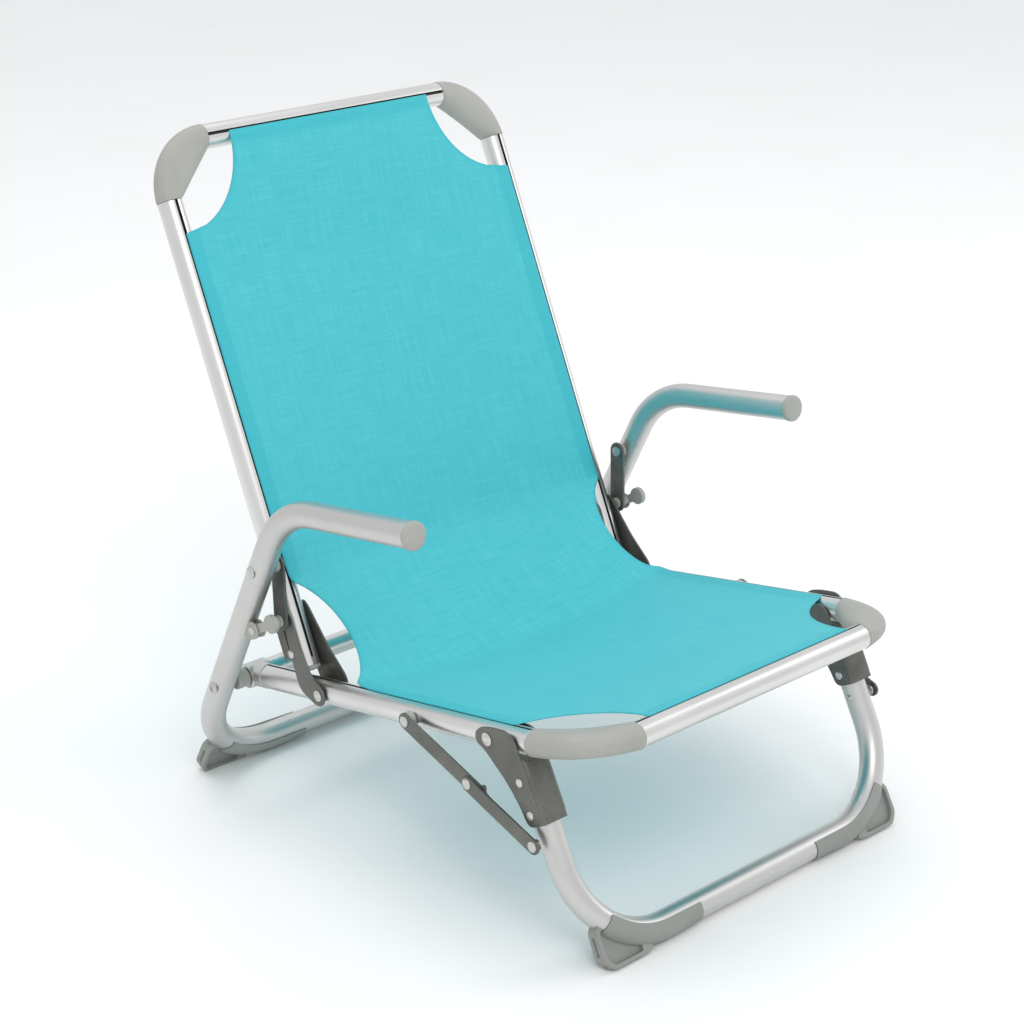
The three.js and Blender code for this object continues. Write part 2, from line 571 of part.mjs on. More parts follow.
// Pressed channel that wraps the front of the leg and reaches up to the hinge on the rail.
function addLegBracket(side, suffix) {
  const x = side * RAIL_X;
  const front = RAIL_R + 0.8;
  const ahead = [LEG_DIR[1], -LEG_DIR[0]];
  const besideLeg = (along, off) => add(add(LEG_TOP, LEG_DIR, along), ahead, off);
  const webFace = front + PLATE_T;
  const low = 54;
  const high = -5;
  const besideRail = (along, off) => add(add(LEG_PIVOT, SEAT_DIR, along), SEAT_UP, off);
  // the ear round the hinge is smaller on the inboard cheek, which turns under the cloth
  const outboardEar = [besideRail(9, 8), besideRail(16, 2), besideRail(15, -6), besideRail(4, -11.5)];
  const inboardEar = [besideRail(6, 9.5), besideRail(10.6, 4), besideRail(10.8, -3), besideRail(5, -10)];
  const outline = (ear) => [
    besideLeg(low, -7), besideLeg(low, webFace), besideLeg(high, webFace), besideRail(-36, 6),
    besideRail(-27, 10), besideRail(-5, 10.2), ...ear,
    besideLeg(8, -18), besideLeg(22, -13), besideLeg(36, -10),
  ].map(([y, z]) => new THREE.Vector2(y, z));
  const cheeks = [-1, 1].map((way) => plate(
    outline(way === side ? outboardEar : inboardEar), x + way * PLATE_IN, x + way * PLATE_OUT, [[LEG_PIVOT, HOLE_R]],
  ));
  const web = [besideLeg(low, front), besideLeg(low, webFace), besideLeg(high, webFace), besideLeg(high, front)]
    .map(([y, z]) => new THREE.Vector2(y, z));
  const bridge = plate(web, x - PLATE_OUT, x + PLATE_OUT);
  const heads = [12, 43].flatMap((along) => [-1, 1].map((way) => turned([
    [x + way * (PLATE_OUT - 0.1), 5], [x + way * (PLATE_OUT + 0.5), 5], [x + way * (PLATE_OUT + RIVET_HEAD), 3],
  ], besideLeg(along, 0))));
  piece(`leg_bracket_${suffix}`, joined(...cheeks, bridge, ...heads), steel);
}

// ---------------------------------------------------------------- folding brace
const BRACE_W = 17;

function addBrace(side, suffix) {
  const upper = [LINK_X, LINK_X + STRAP_T];
  const lower = [upper[1] + GAP, upper[1] + GAP + STRAP_T];
  const pin = [[BRACE_MID, HOLE_R]];
  const tail = add(BRACE_MID, unit(BRACE_TOP, BRACE_MID), 27);
  piece(`brace_upper_${suffix}`, plate(
    linkOutline(BRACE_TOP, BRACE_W / 2, tail, BRACE_W / 2), side * upper[0], side * upper[1],
    [[BRACE_TOP, HOLE_R], ...pin],
  ), steel);
  const lowerLink = plate(
    linkOutline(BRACE_MID, BRACE_W / 2, BRACE_LOW, BRACE_W / 2), side * lower[0], side * lower[1],
  );
  const midRivet = turned([
    [side * (upper[0] - RIVET_HEAD), 3.5], [side * (upper[0] - 0.8), 6], [side * (upper[0] - GAP), 6],
    [side * (upper[0] - GAP), PIN_R], [side * (lower[1] - 0.1), PIN_R], [side * (lower[1] - 0.1), 6],
    [side * (lower[1] + 0.6), 6], [side * (lower[1] + RIVET_HEAD), 3.5],
  ], BRACE_MID);
  const lowRivet = turned([
    [side * (RAIL_X + PLATE_OUT + RIVET_HEAD + GAP), PIN_R], [side * (lower[1] - 0.1), PIN_R],
    [side * (lower[1] - 0.1), 6], [side * (lower[1] + 0.6), 6], [side * (lower[1] + RIVET_HEAD), 3.5],
  ], BRACE_LOW);
  piece(`brace_lower_${suffix}`, joined(lowerLink, midRivet, lowRivet), steel);

  const collar = RAIL_R + GAP;
  const outside = upper[1] - RAIL_X;
  piece(`brace_pin_${suffix}`, turned([
    [side * (RAIL_X - collar - RIVET_HEAD), 3.5], [side * (RAIL_X - collar - 0.8), 6],
    [side * (RAIL_X - collar), 6], [side * (RAIL_X - collar), PIN_R],
    [side * (RAIL_X + collar), PIN_R], [side * (RAIL_X + collar), 8], [side * (upper[0] - GAP), 8],
    [side * (upper[0] - GAP), PIN_R], [side * (RAIL_X + outside + GAP), PIN_R],
    [side * (RAIL_X + outside + GAP), 6], [side * (RAIL_X + outside + 1), 6], [side * (RAIL_X + outside + 2), 3.5],
  ], BRACE_TOP), greyPlastic);
}

// ---------------------------------------------------------------- sling
const SLING_T = 3;
const SLING_RISE = RAIL_R + 1.2;       // underside of the cloth at the tubes, above their axis
const SLING_SAG = 18;

// Closed slab from rows of stations: each station gives its place, its outward direction and half-width.
function slab(stations, columns = 8) {
  const positions = [];
  const layer = (raise) => stations.forEach(({ point, out, half, sag }) => {
    for (let i = 0; i <= columns; i += 1) {
      const x = half * ((2 * i) / columns - 1);
      const drop = sag * (1 - (x / RAIL_X) ** 2);
      const [y, z] = add(point, out, SLING_RISE + raise - drop);
      positions.push(x, y, z);
    }
  });
  layer(SLING_T);
  layer(0);
  const wide = columns + 1;
  const low = stations.length * wide;
  const index = [];
  const quad = (a, b, c, d) => index.push(a, b, c, a, c, d);
  for (let j = 0; j < stations.length - 1; j += 1) {
    for (let i = 0; i < columns; i += 1) {
      const a = j * wide + i;
      quad(a, a + 1, a + 1 + wide, a + wide);
      quad(low + a, low + a + wide, low + a + 1 + wide, low + a + 1);
    }
    const left = j * wide;
    const right = left + columns;
    quad(left, left + wide, low + left + wide, low + left);
    quad(right, low + right, low + right + wide, right + wide);
  }
  const end = (stations.length - 1) * wide;
  for (let i = 0; i < columns; i += 1) {
    quad(i, low + i, low + i + 1, i + 1);
    quad(end + i, end + i + 1, low + end + i + 1, low + end + i);
  }
  const geometry = new THREE.BufferGeometry();
  geometry.setAttribute('position', new THREE.BufferAttribute(new Float32Array(positions), 3));
  geometry.setIndex(index);
  geometry.computeVertexNormals();
  return geometry;
}

const smooth = (t) => {
  const s = Math.min(Math.max(t, 0), 1);
  return s * s * (3 - 2 * s);
};
const CORNER_HALF = 134;               // half-width of the cloth where it leaves a cross tube
const WAIST_HALF = 184;                // half-width at the hinge

function addSlings() {
  const seatYs = [-304, -285, -262, -238, -212, -160, -90, -20, 0, 20, 44];
  const seat = seatYs.map((y) => {
    const corner = smooth((y + 304) / 92);
    const waist = smooth((16 - y) / 36);
    const half = Math.min(CORNER_HALF + (RAIL_X - 1 - CORNER_HALF) * corner, WAIST_HALF + (RAIL_X - 1 - WAIST_HALF) * waist);
    return { point: onRail(y), out: SEAT_UP, half, sag: SLING_SAG * smooth((y + 304) / 200) };
  });
  piece('seat_sling', slab(seat), meshCloth);

  const backDistances = [512, 480, 456, 430, 380, 280, 180, 120, 88, 60, 36, 14, 0];
  const back = backDistances.map((d) => {
    const corner = smooth(d / 88);
    const waist = smooth((512 - d) / 100);
    const half = Math.min(CORNER_HALF + (RAIL_X - 1 - CORNER_HALF) * corner, WAIST_HALF + (RAIL_X - 1 - WAIST_HALF) * waist);
    return { point: onStile(d), out: BACK_OUT, half, sag: SLING_SAG * smooth(d / 200) };
  });
  piece('back_sling', slab(back), meshCloth);
}

// ---------------------------------------------------------------- assembly
addCrossRails();
addRearCrossbar();
addArmTube();
addFrontLegTube();
addSlings();
for (const [side, suffix] of [[-1, 'left'], [1, 'right']]) {
  addSideRail(side, suffix);
  addStile(side, suffix);
  addElbows(side, suffix);
  addPlugs(side, suffix);
  addRailEnd(side, suffix);
  addArmPivot(side, suffix);
  addFeet(side, suffix);
  addHingeBracket(side, suffix);
  piece(`back_hinge_pin_${suffix}`, platePin(side, PLATE_OUT, PLATE_OUT, BACK_PIVOT), rivetMetal);
  addStrap(side, suffix);
  addLever(side, suffix);
  addLegBracket(side, suffix);
  piece(`leg_hinge_pin_${suffix}`, platePin(side, PLATE_OUT, PLATE_OUT, LEG_PIVOT), rivetMetal);
  addBrace(side, suffix);
}

export default chair;
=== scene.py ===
"""Looks of the low folding beach chair: metal frame, plastic corners and feet, steel brackets, one sling.

Metres, +Z up, -Y is the front. Side-view points are (y, z) pairs.
"""

import json
import math

import bpy
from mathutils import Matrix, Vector


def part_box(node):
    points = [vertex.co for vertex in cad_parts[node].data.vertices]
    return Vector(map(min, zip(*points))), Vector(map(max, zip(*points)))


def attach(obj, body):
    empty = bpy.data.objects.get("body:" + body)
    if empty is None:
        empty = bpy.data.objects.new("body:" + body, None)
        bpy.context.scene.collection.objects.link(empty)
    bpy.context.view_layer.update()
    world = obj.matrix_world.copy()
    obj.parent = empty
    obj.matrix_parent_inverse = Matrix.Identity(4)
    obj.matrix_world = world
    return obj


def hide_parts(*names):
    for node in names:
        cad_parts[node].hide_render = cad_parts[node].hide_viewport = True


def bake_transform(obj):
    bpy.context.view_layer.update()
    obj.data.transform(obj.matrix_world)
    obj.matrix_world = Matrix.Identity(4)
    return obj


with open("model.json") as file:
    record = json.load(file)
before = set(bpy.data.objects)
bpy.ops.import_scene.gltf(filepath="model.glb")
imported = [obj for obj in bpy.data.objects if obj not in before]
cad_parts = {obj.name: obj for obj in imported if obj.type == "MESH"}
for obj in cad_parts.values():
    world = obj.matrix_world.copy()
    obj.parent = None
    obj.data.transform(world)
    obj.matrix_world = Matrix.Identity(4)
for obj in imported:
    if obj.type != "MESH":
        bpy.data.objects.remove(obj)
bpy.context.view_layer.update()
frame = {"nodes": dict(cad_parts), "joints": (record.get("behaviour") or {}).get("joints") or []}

MM = 0.001
SIDES = {"left": -1, "right": 1}
ACROSS = Vector((1, 0, 0))

# ---------- dimensions
ARM_X = 255 * MM  # planes of the tubes' centre lines, from the middle plane
RAIL_X = 214 * MM
ARM_R = 13 * MM
RAIL_R = 12.5 * MM
RAIL_WALL = 1.6 * MM
SLOT_W = 3.2 * MM
FITTING_R = 13.1 * MM
PLATE_T = 2 * MM
PLATE_IN = RAIL_R + 1 * MM  # faces of a bracket's cheeks, from the rail's centre line
PLATE_OUT = PLATE_IN + PLATE_T
STRAP_T = 2.5 * MM
LINK_X = 233.5 * MM  # inboard face of the straps and of the upper brace links
RIVET = 1.8 * MM  # height of a rivet head
GAP = 0.3 * MM  # air between neighbouring parts

ARM_BEND_R = 95 * MM
REAR_BEND_R = 100 * MM
FRONT_BEND_R = 90 * MM
FRONT_ELBOW = (71 * MM, 59 * MM)  # leg along the side rail, leg along the front rail
TOP_ELBOW = (57 * MM, 59 * MM)
STILE_LENGTH = 534 * MM
RAIL_REAR_Y = 157 * MM
BACK_LEAN = math.radians(24.4)

# corners of the tubes' centre lines in the side view, before rounding
ARM_END = (-118 * MM, 380 * MM)
ARM_KNEE = (71.5 * MM, 350.5 * MM)
REAR_BAR = (240.5 * MM, 15.3 * MM)
SEAT_FRONT = (-304 * MM, 216.5 * MM)
TOP_CORNER = (314 * MM, 652.5 * MM)
LEG_TOP = (-225.6 * MM, 178 * MM)
FRONT_BAR = (-312 * MM, 14.8 * MM)


# ---------- side-view lines
def pivot(joint_name):
    joint = next(j for j in frame["joints"] if j["name"] == joint_name)
    return joint["pos_m"][1], joint["pos_m"][2]


def middle(node):
    low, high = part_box(node)
    return (low.y + high.y) / 2, (low.z + high.z) / 2


def plus(p, q, k=1.0):
    return p[0] + k * q[0], p[1] + k * q[1]


def distance(p, q):
    return math.hypot(q[0] - p[0], q[1] - p[1])


def direction(p, q):
    return (q[0] - p[0]) / distance(p, q), (q[1] - p[1]) / distance(p, q)


def at(x, p):
    return Vector((x, p[0], p[1]))


ARM_PIVOT = pivot("arm_fold")
BACK_PIVOT = pivot("back_fold")
LEG_PIVOT = pivot("front_leg_fold")
BRACE_TOP = pivot("brace_upper_swing")
BRACE_MID = pivot("brace_lower_swing")
STRAP_TOP = pivot("strap_swing")
LEVER_PIVOT = pivot("catch_lift_left")
STRAP_LOW = middle("strap_low_pin_left")

SEAT_DIR = direction(SEAT_FRONT, ARM_PIVOT)
SEAT_UP = (-SEAT_DIR[1], SEAT_DIR[0])
BACK_DIR = (math.sin(BACK_LEAN), math.cos(BACK_LEAN))
BACK_OUT = (-BACK_DIR[1], BACK_DIR[0])
REAR_LEG_DIR = direction(ARM_KNEE, REAR_BAR)
TOWARD_LEG = (-REAR_LEG_DIR[1], REAR_LEG_DIR[0])
ARM_DIR = direction(ARM_KNEE, ARM_END)
LEG_DIR = direction(LEG_TOP, FRONT_BAR)
LEG_AHEAD = (LEG_DIR[1], -LEG_DIR[0])


def on_rail(y):
    return plus(SEAT_FRONT, SEAT_DIR, (y - SEAT_FRONT[0]) / SEAT_DIR[0])


def on_stile(from_top):
    return plus(TOP_CORNER, BACK_DIR, -from_top)


def beside_leg(along, off):
    return plus(plus(LEG_TOP, LEG_DIR, along * MM), LEG_AHEAD, off * MM)


BRACE_LOW = plus(LEG_TOP, LEG_DIR, (117 * MM - LEG_TOP[1]) / LEG_DIR[1])
STILE_RIVET = on_stile((TOP_CORNER[1] - 181 * MM) / BACK_DIR[1])


# ---------- node helpers for materials
class Nodes:
    """A new material with its shader, and short names for the nodes that the finishes share."""

    def __init__(self, name):
        self.material = bpy.data.materials.new(name)
        self.material.use_nodes = True
        self.tree = self.material.node_tree
        self.shader = self.tree.nodes["Principled BSDF"]

    def new(self, kind):
        return self.tree.nodes.new(kind)

    def link(self, source, target):
        self.tree.links.new(source, target)

    def coordinates(self, kind, scale=(1, 1, 1)):
        source = self.new("ShaderNodeTexCoord")
        mapping = self.new("ShaderNodeMapping")
        mapping.inputs["Scale"].default_value = scale
        self.link(source.outputs[kind], mapping.inputs["Vector"])
        return mapping.outputs["Vector"]

    def noise(self, scale, detail=3.0, stretch=None):
        """Along the object's own axes, or along its UV map if a stretch is given."""
        vector = self.coordinates("UV", stretch) if stretch else self.coordinates("Object")
        node = self.new("ShaderNodeTexNoise")
        node.inputs["Scale"].default_value = scale
        node.inputs["Detail"].default_value = detail
        self.link(vector, node.inputs["Vector"])
        return node.outputs["Fac"]

    def to_range(self, value, low, high, start=0.3, end=0.7):
        node = self.new("ShaderNodeMapRange")
        node.inputs["From Min"].default_value = start
        node.inputs["From Max"].default_value = end
        node.inputs["To Min"].default_value = low
        node.inputs["To Max"].default_value = high
        self.link(value, node.inputs["Value"])
        return node.outputs["Result"]

    def maths(self, operation, a, b=None):
        node = self.new("ShaderNodeMath")
        node.operation = operation
        for socket, value in zip(node.inputs, (a, b)):
            if value is None:
                continue
            if isinstance(value, (int, float)):
                socket.default_value = value
            else:
                self.link(value, socket)
        return node.outputs["Value"]

    def add(self, a, b):
        return self.maths("ADD", a, b)

    def times(self, a, b):
        return self.maths("MULTIPLY", a, b)

    def mix(self, factor, dark, light):
        node = self.new("ShaderNodeMix")
        node.data_type = "RGBA"
        for name, kind, value in (("Factor", "VALUE", factor), ("A", "RGBA", dark), ("B", "RGBA", light)):
            socket = next(s for s in node.inputs if s.name == name and s.type == kind)
            if isinstance(value, tuple):
                socket.default_value = (*value, 1.0)
            else:
                self.link(value, socket)
        return next(s for s in node.outputs if s.type == "RGBA")

    def colour(self, socket):
        self.link(socket, self.shader.inputs["Base Color"])

    def roughness(self, socket):
        self.link(socket, self.shader.inputs["Roughness"])

    def bump(self, height, strength, depth):
        node = self.new("ShaderNodeBump")
        node.inputs["Strength"].default_value = strength
        node.inputs["Distance"].default_value = depth
        self.link(height, node.inputs["Height"])
        self.link(node.outputs["Normal"], self.shader.inputs["Normal"])

    def set(self, **values):
        for key, value in values.items():
            self.shader.inputs[key.replace("_", " ")].default_value = value


def wear(n):
    """Fine scratches and smudges, from 0 (clean) to 1."""
    smudge = n.to_range(n.noise(14, 4.0), 0, 1, 0.42, 0.68)
    speck = n.to_range(n.noise(420, 2.0), 0.4, 1, 0.35, 0.65)
    return n.times(smudge, speck)


def brighter(tint, factor):
    return tuple(min(1, factor * c) for c in tint)


def metal(name, tint, darker, rough, streak):
    """Drawn and anodised tube: faint lines along the tube, soft clouding and small marks."""
    n = Nodes(name)
    n.set(Metallic=1.0)
    lines = n.noise(1.0, 2.0, (1300, 3, 1))
    clouds = n.noise(9, 3.0)
    grain = n.noise(2600, 1.0)
    cloudy = n.times(n.to_range(clouds, 0, 1), 0.6)
    n.colour(n.mix(n.add(cloudy, n.times(lines, 0.4)), darker, tint))
    rough_base = n.to_range(lines, rough - 0.03, rough + 0.03)
    n.roughness(n.add(rough_base, n.times(wear(n), 0.06)))
    height = n.add(n.times(lines, streak), n.times(grain, 0.3))
    n.bump(height, 0.06, 0.00003)
    return n.material


def plastic(name, light, dark, rough):
    """Moulded plastic with a fine spark-eroded grain, slight colour flow and rubbed patches."""
    n = Nodes(name)
    flow = n.noise(22, 4.0)
    grain = n.noise(1900, 2.0)
    waves = n.noise(130, 2.0)
    base = n.mix(n.to_range(flow, 0, 1), dark, light)
    n.colour(n.mix(n.times(wear(n), 0.25), base, brighter(light, 1.25)))
    n.roughness(n.to_range(grain, rough - 0.06, rough + 0.06))
    n.bump(n.add(grain, n.times(waves, 0.6)), 0.3, 0.00012)
    n.set(IOR=1.48)
    return n.material


def coated_steel(name, light, dark, rough):
    """Zinc-coated pressed steel: dull, slightly mottled, with fine pitting and rubbed spots."""
    n = Nodes(name)
    n.set(Metallic=0.75)
    mottle = n.noise(70, 5.0)
    pits = n.noise(900, 2.0)
    base = n.mix(n.to_range(mottle, 0, 1), dark, light)
    n.colour(n.mix(n.times(wear(n), 0.35), base, brighter(light, 1.8)))
    n.roughness(n.to_range(mottle, rough - 0.06, rough + 0.08))
    n.bump(n.add(mottle, n.times(pits, 0.7)), 0.25, 0.00012)
    return n.material


def weave(name, light, dark, hem_tint):
    """Woven mesh cloth of coated yarn: over-and-under threads, uneven yarn and darker hems."""
    n = Nodes(name)
    threads = 1.0 / (1.15 * MM)  # threads per metre
    source = n.new("ShaderNodeTexCoord")
    split = n.new("ShaderNodeSeparateXYZ")
    n.link(source.outputs["UV"], split.inputs["Vector"])
    wobble = n.noise(1.0, 2.0, (160, 160, 1))
    sway = n.times(n.maths("SUBTRACT", wobble, 0.5), 0.35)
    across = n.add(n.times(split.outputs["X"], threads), sway)
    along = n.add(n.times(split.outputs["Y"], threads), sway)

    def rib(coordinate):
        return n.maths("ABSOLUTE", n.maths("SINE", n.times(coordinate, math.pi)))

    def parity(coordinate):
        return n.maths("MODULO", n.maths("ABSOLUTE", n.maths("FLOOR", coordinate)), 2.0)

    odd = n.maths("MODULO", n.add(parity(across), parity(along)), 2.0)
    warp = n.times(rib(across), n.add(0.55, n.times(odd, 0.45)))
    weft = n.times(rib(along), n.maths("SUBTRACT", 1.0, n.times(odd, 0.45)))
    height = n.maths("MAXIMUM", warp, weft)
    hem = n.new("ShaderNodeAttribute")
    hem.attribute_name = "hem"
    slub = n.noise(1.0, 3.0, (420, 22, 1))
    slub_across = n.noise(1.0, 3.0, (22, 420, 1))
    broad = n.noise(1.0, 2.0, (5, 5, 1))
    uneven = n.times(n.add(slub, slub_across), 0.5)
    ribbed = n.times(n.to_range(height, 0, 1, 0.25, 0.95), 0.6)
    cloth = n.mix(n.add(ribbed, n.times(n.to_range(uneven, 0, 1, 0.35, 0.65), 0.4)), dark, light)
    cloth = n.mix(n.times(n.to_range(broad, 0, 1), 0.10), cloth, dark)
    cloth = n.mix(n.to_range(uneven, 0.28, 0, 0.38, 0.62), cloth, dark)
    n.colour(n.mix(n.times(hem.outputs["Fac"], 0.72), cloth, hem_tint))
    n.roughness(n.to_range(height, 0.78, 0.6))
    n.bump(height, 0.35, 0.00025)
    n.set(Sheen_Weight=0.06, Sheen_Roughness=0.5, IOR=1.4)
    return n.material


def painted_slot_shade(name, tint, rough):
    """Painted shade for the inside of a slot or recess: near black, with slight random variation."""
    n = Nodes(name)
    # slight random variation of the painted shade
    shade_mottle = n.noise(300, 3.0)
    n.colour(n.mix(n.to_range(shade_mottle, 0, 1), tint, brighter(tint, 2.2)))
    n.roughness(n.to_range(shade_mottle, rough, rough + 0.15))
    return n.material


SATIN = metal("anodised_satin", (0.655, 0.65, 0.63), (0.57, 0.565, 0.55), 0.38, 0.5)
BRIGHT = metal("anodised_bright", (0.76, 0.755, 0.735), (0.66, 0.655, 0.64), 0.31, 0.35)
RIVET_METAL = metal("rivet_bright", (0.66, 0.65, 0.63), (0.50, 0.50, 0.48), 0.28, 0.3)
GREY = plastic("grey_moulding", (0.375, 0.375, 0.345), (0.335, 0.335, 0.31), 0.5)
FOOT_GREY = plastic("foot_moulding", (0.285, 0.295, 0.275), (0.25, 0.26, 0.24), 0.52)
STEEL = coated_steel("coated_steel", (0.155, 0.157, 0.142), (0.12, 0.121, 0.11), 0.40)
CLOTH = weave("mesh_cloth", (0.13, 0.63, 0.68), (0.035, 0.45, 0.52), (0.03, 0.44, 0.51))
# painted shade: a near-black finish for the dark inside of the slotted rails
SLOT_SHADE = painted_slot_shade("slot_painted_shade", (0.012, 0.012, 0.012), 0.6)


# ---------- mesh helpers
def piece_name(name):
    """A piece can't have the name of a CAD node, which is in the scene too."""
    return name + "_skin" if name in frame["nodes"] else name


def new_object(name, vertices, faces, material, uvs=None, sharp=38):
    name = piece_name(name)
    mesh = bpy.data.meshes.new(name)
    mesh.from_pydata([tuple(v) for v in vertices], [], faces)
    mesh.materials.append(material)
    if uvs:
        layer = mesh.uv_layers.new(name="UVMap")
        for loop in mesh.loops:
            layer.data[loop.index].uv = uvs[loop.index]
    mesh.validate()
    mesh.update()
    mesh.polygons.foreach_set("use_smooth", [True] * len(mesh.polygons))
    mesh.set_sharp_from_angle(angle=math.radians(sharp))
    obj = bpy.data.objects.new(name, mesh)
    bpy.context.scene.collection.objects.link(obj)
    return obj


def place(obj, body):
    """Puts a piece on its body, in place of the CAD node it is named after."""
    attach(obj, body)
    node = obj.name.removesuffix("_skin")
    if node in frame["nodes"]:
        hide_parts(node)


def join(name, *objects):
    """One object from several of one material, with their modifiers applied."""
    for obj in objects:
        bpy.context.view_layer.objects.active = obj
        for modifier in list(obj.modifiers):
            bpy.ops.object.modifier_apply(modifier=modifier.name)
    bpy.ops.object.select_all(action="DESELECT")
    for obj in objects:
        obj.select_set(True)
    bpy.context.view_layer.objects.active = objects[0]
    bpy.ops.object.join()
    objects[0].name = piece_name(name)
    objects[0].data.name = objects[0].name
    return objects[0]


def bevel(obj, width, segments, angle):
    modifier = obj.modifiers.new("edges", "BEVEL")
    modifier.width = width
    modifier.segments = segments
    modifier.limit_method = "ANGLE"
    modifier.angle_limit = math.radians(angle)
    modifier.harden_normals = True


def bent_path(corners, radii, step):
    """Stations (point, tangent) along straight runs joined by arcs, one per step of degrees."""
    stations = [(corners[0], (corners[1] - corners[0]).normalized())]
    for i in range(1, len(corners) - 1):
        before = (corners[i] - corners[i - 1]).normalized()
        after = (corners[i + 1] - corners[i]).normalized()
        turn = before.angle(after)
        radius = radii[i - 1]
        start = corners[i] - before * radius * math.tan(turn / 2)
        inward = (after - before * after.dot(before)).normalized()
        centre = start + inward * radius
        steps = max(2, math.ceil(math.degrees(turn) / step))
        for k in range(steps + 1):
            a = turn * k / steps
            stations.append((
                centre - inward * radius * math.cos(a) + before * radius * math.sin(a),
                before * math.cos(a) + inward * math.sin(a),
            ))
    stations.append((corners[-1], (corners[-1] - corners[-2]).normalized()))
    return stations


def frames(stations, up):
    """Two cross directions at each station, carried along without twist."""
    result = []
    side = None
    for point, tangent in stations:
        if side is None:
            side = up - tangent * up.dot(tangent)
        else:
            side = side - tangent * side.dot(tangent)
        side.normalize()
        result.append((point, side.copy(), tangent.cross(side)))
    return result


def loft(name, rings, material, lengths, sharp=38):
    """Skin over rings of equal size; UV is the way round and the way along, in metres."""
    count = len(rings[0])
    vertices = [v for ring in rings for v in ring]
    around = [0.0]
    for i in range(count):
        around.append(around[-1] + (rings[0][(i + 1) % count] - rings[0][i]).length)
    faces = []
    uvs = []
    for j in range(len(rings) - 1):
        near, far = lengths[j], lengths[j + 1]
        for i in range(count):
            k = (i + 1) % count
            faces.append((j * count + i, j * count + k, (j + 1) * count + k, (j + 1) * count + i))
            uvs += [(around[i], near), (around[i + 1], near), (around[i + 1], far), (around[i], far)]
    for j, order in ((0, range(count - 1, -1, -1)), (len(rings) - 1, range(count))):
        faces.append(tuple(j * count + i for i in order))
        uvs += [(around[i], lengths[j]) for i in order]
    return new_object(name, vertices, faces, material, uvs, sharp)


def circle(radius, sides):
    angles = [2 * math.pi * i / sides for i in range(sides)]
    return [(radius * math.cos(a), radius * math.sin(a)) for a in angles]


def tube(name, stations, radius, material, up=ACROSS, sides=48):
    outline = circle(radius, sides)
    placed = frames(stations, up)
    rings = []
    lengths = [0.0]
    for i, (point, side, cross) in enumerate(placed):
        if i:
            lengths.append(lengths[-1] + (point - placed[i - 1][0]).length)
        rings.append([point + side * a + cross * b for a, b in outline])
    return loft(name, rings, material, lengths)


def lathe(name, profile, centre, axis, material, sides=28):
    """profile is (distance along the axis, radius) pairs in mm; a radius of 0 closes on the axis."""
    axis = axis.normalized()
    side = axis.cross(Vector((0, 0, 1))).normalized()
    cross = axis.cross(side)
    rings = []
    for along, radius in profile:
        outline = circle(max(radius * MM, 1e-5), sides)
        rings.append([centre + axis * along * MM + side * a + cross * b for a, b in outline])
    lengths = [0.0]
    for (a, ra), (b, rb) in zip(profile, profile[1:]):
        lengths.append(lengths[-1] + math.hypot(b - a, rb - ra) * MM)
    return loft(name, rings, material, lengths, sharp=30)


def pin(name, sign, profile, centre, material, sides=28):
    """A turned piece across the chair; its profile is measured outwards from the middle plane."""
    return lathe(name, profile, at(0, centre), ACROSS * sign, material, sides)


def dome(face, height, radius):
    """Profile in mm of a low rivet head that starts on a face and rises by height."""
    rim = 0.3
    steps = 6
    points = [(face, radius), (face + rim, radius)]
    for i in range(1, steps + 1):
        a = math.pi / 2 * i / steps
        points.append((face + rim + (height - rim) * math.sin(a), radius * math.cos(a)))
    return points


def rounded(outline, radius, steps=4):
    """Side-view outline with each corner turned into a small arc."""
    result = []
    count = len(outline)
    for i, corner in enumerate(outline):
        last = outline[i - 1]
        following = outline[(i + 1) % count]
        before = direction(corner, last)
        after = direction(corner, following)
        reach = min(radius, 0.45 * distance(corner, last), 0.45 * distance(corner, following))
        a = plus(corner, before, reach)
        b = plus(corner, after, reach)
        for k in range(steps + 1):
            t = k / steps
            result.append((
                (1 - t) ** 2 * a[0] + 2 * t * (1 - t) * corner[0] + t * t * b[0],
                (1 - t) ** 2 * a[1] + 2 * t * (1 - t) * corner[1] + t * t * b[1],
            ))
    return result


def slab(name, outline, x1, x2, material, edge=0.45 * MM, to_world=at, segments=2):
    """Flat plate between two planes across the chair, with eased edges."""
    count = len(outline)
    pairs = zip(outline, outline[1:] + outline[:1])
    area = sum(p[0] * q[1] - q[0] * p[1] for p, q in pairs)
    points = list(outline) if area > 0 else list(reversed(outline))
    low, high = min(x1, x2), max(x1, x2)
    vertices = [to_world(low, p) for p in points] + [to_world(high, p) for p in points]
    faces = [tuple(range(count - 1, -1, -1)), tuple(range(count, 2 * count))]
    faces += [(i, (i + 1) % count, count + (i + 1) % count, count + i) for i in range(count)]
    obj = new_object(name, vertices, faces, material, sharp=50)
    uv = obj.data.uv_layers.new(name="UVMap")
    for loop in obj.data.loops:
        p = obj.data.vertices[loop.vertex_index].co
        uv.data[loop.index].uv = (p.y + p.x, p.z)
    bevel(obj, edge, segments, 50)
    return obj


def in_mm(points):
    return [(a * MM, b * MM) for a, b in points]


def link_outline(a, ra, b, rb, steps=16):
    """Outline of a flat link with a round end at a and at b, joined by tangents."""
    heading = math.atan2(b[1] - a[1], b[0] - a[0])
    lean = math.asin((ra - rb) / distance(a, b))
    quarter = math.pi / 2
    ends = (
        (b, rb, heading - quarter + lean, heading + quarter - lean),
        (a, ra, heading + quarter - lean, heading + 3 * quarter + lean),
    )
    outline = []
    for centre, radius, start, end in ends:
        for i in range(steps + 1):
            angle = start + (end - start) * i / steps
            outline.append((centre[0] + radius * math.cos(angle), centre[1] + radius * math.sin(angle)))
    return outline


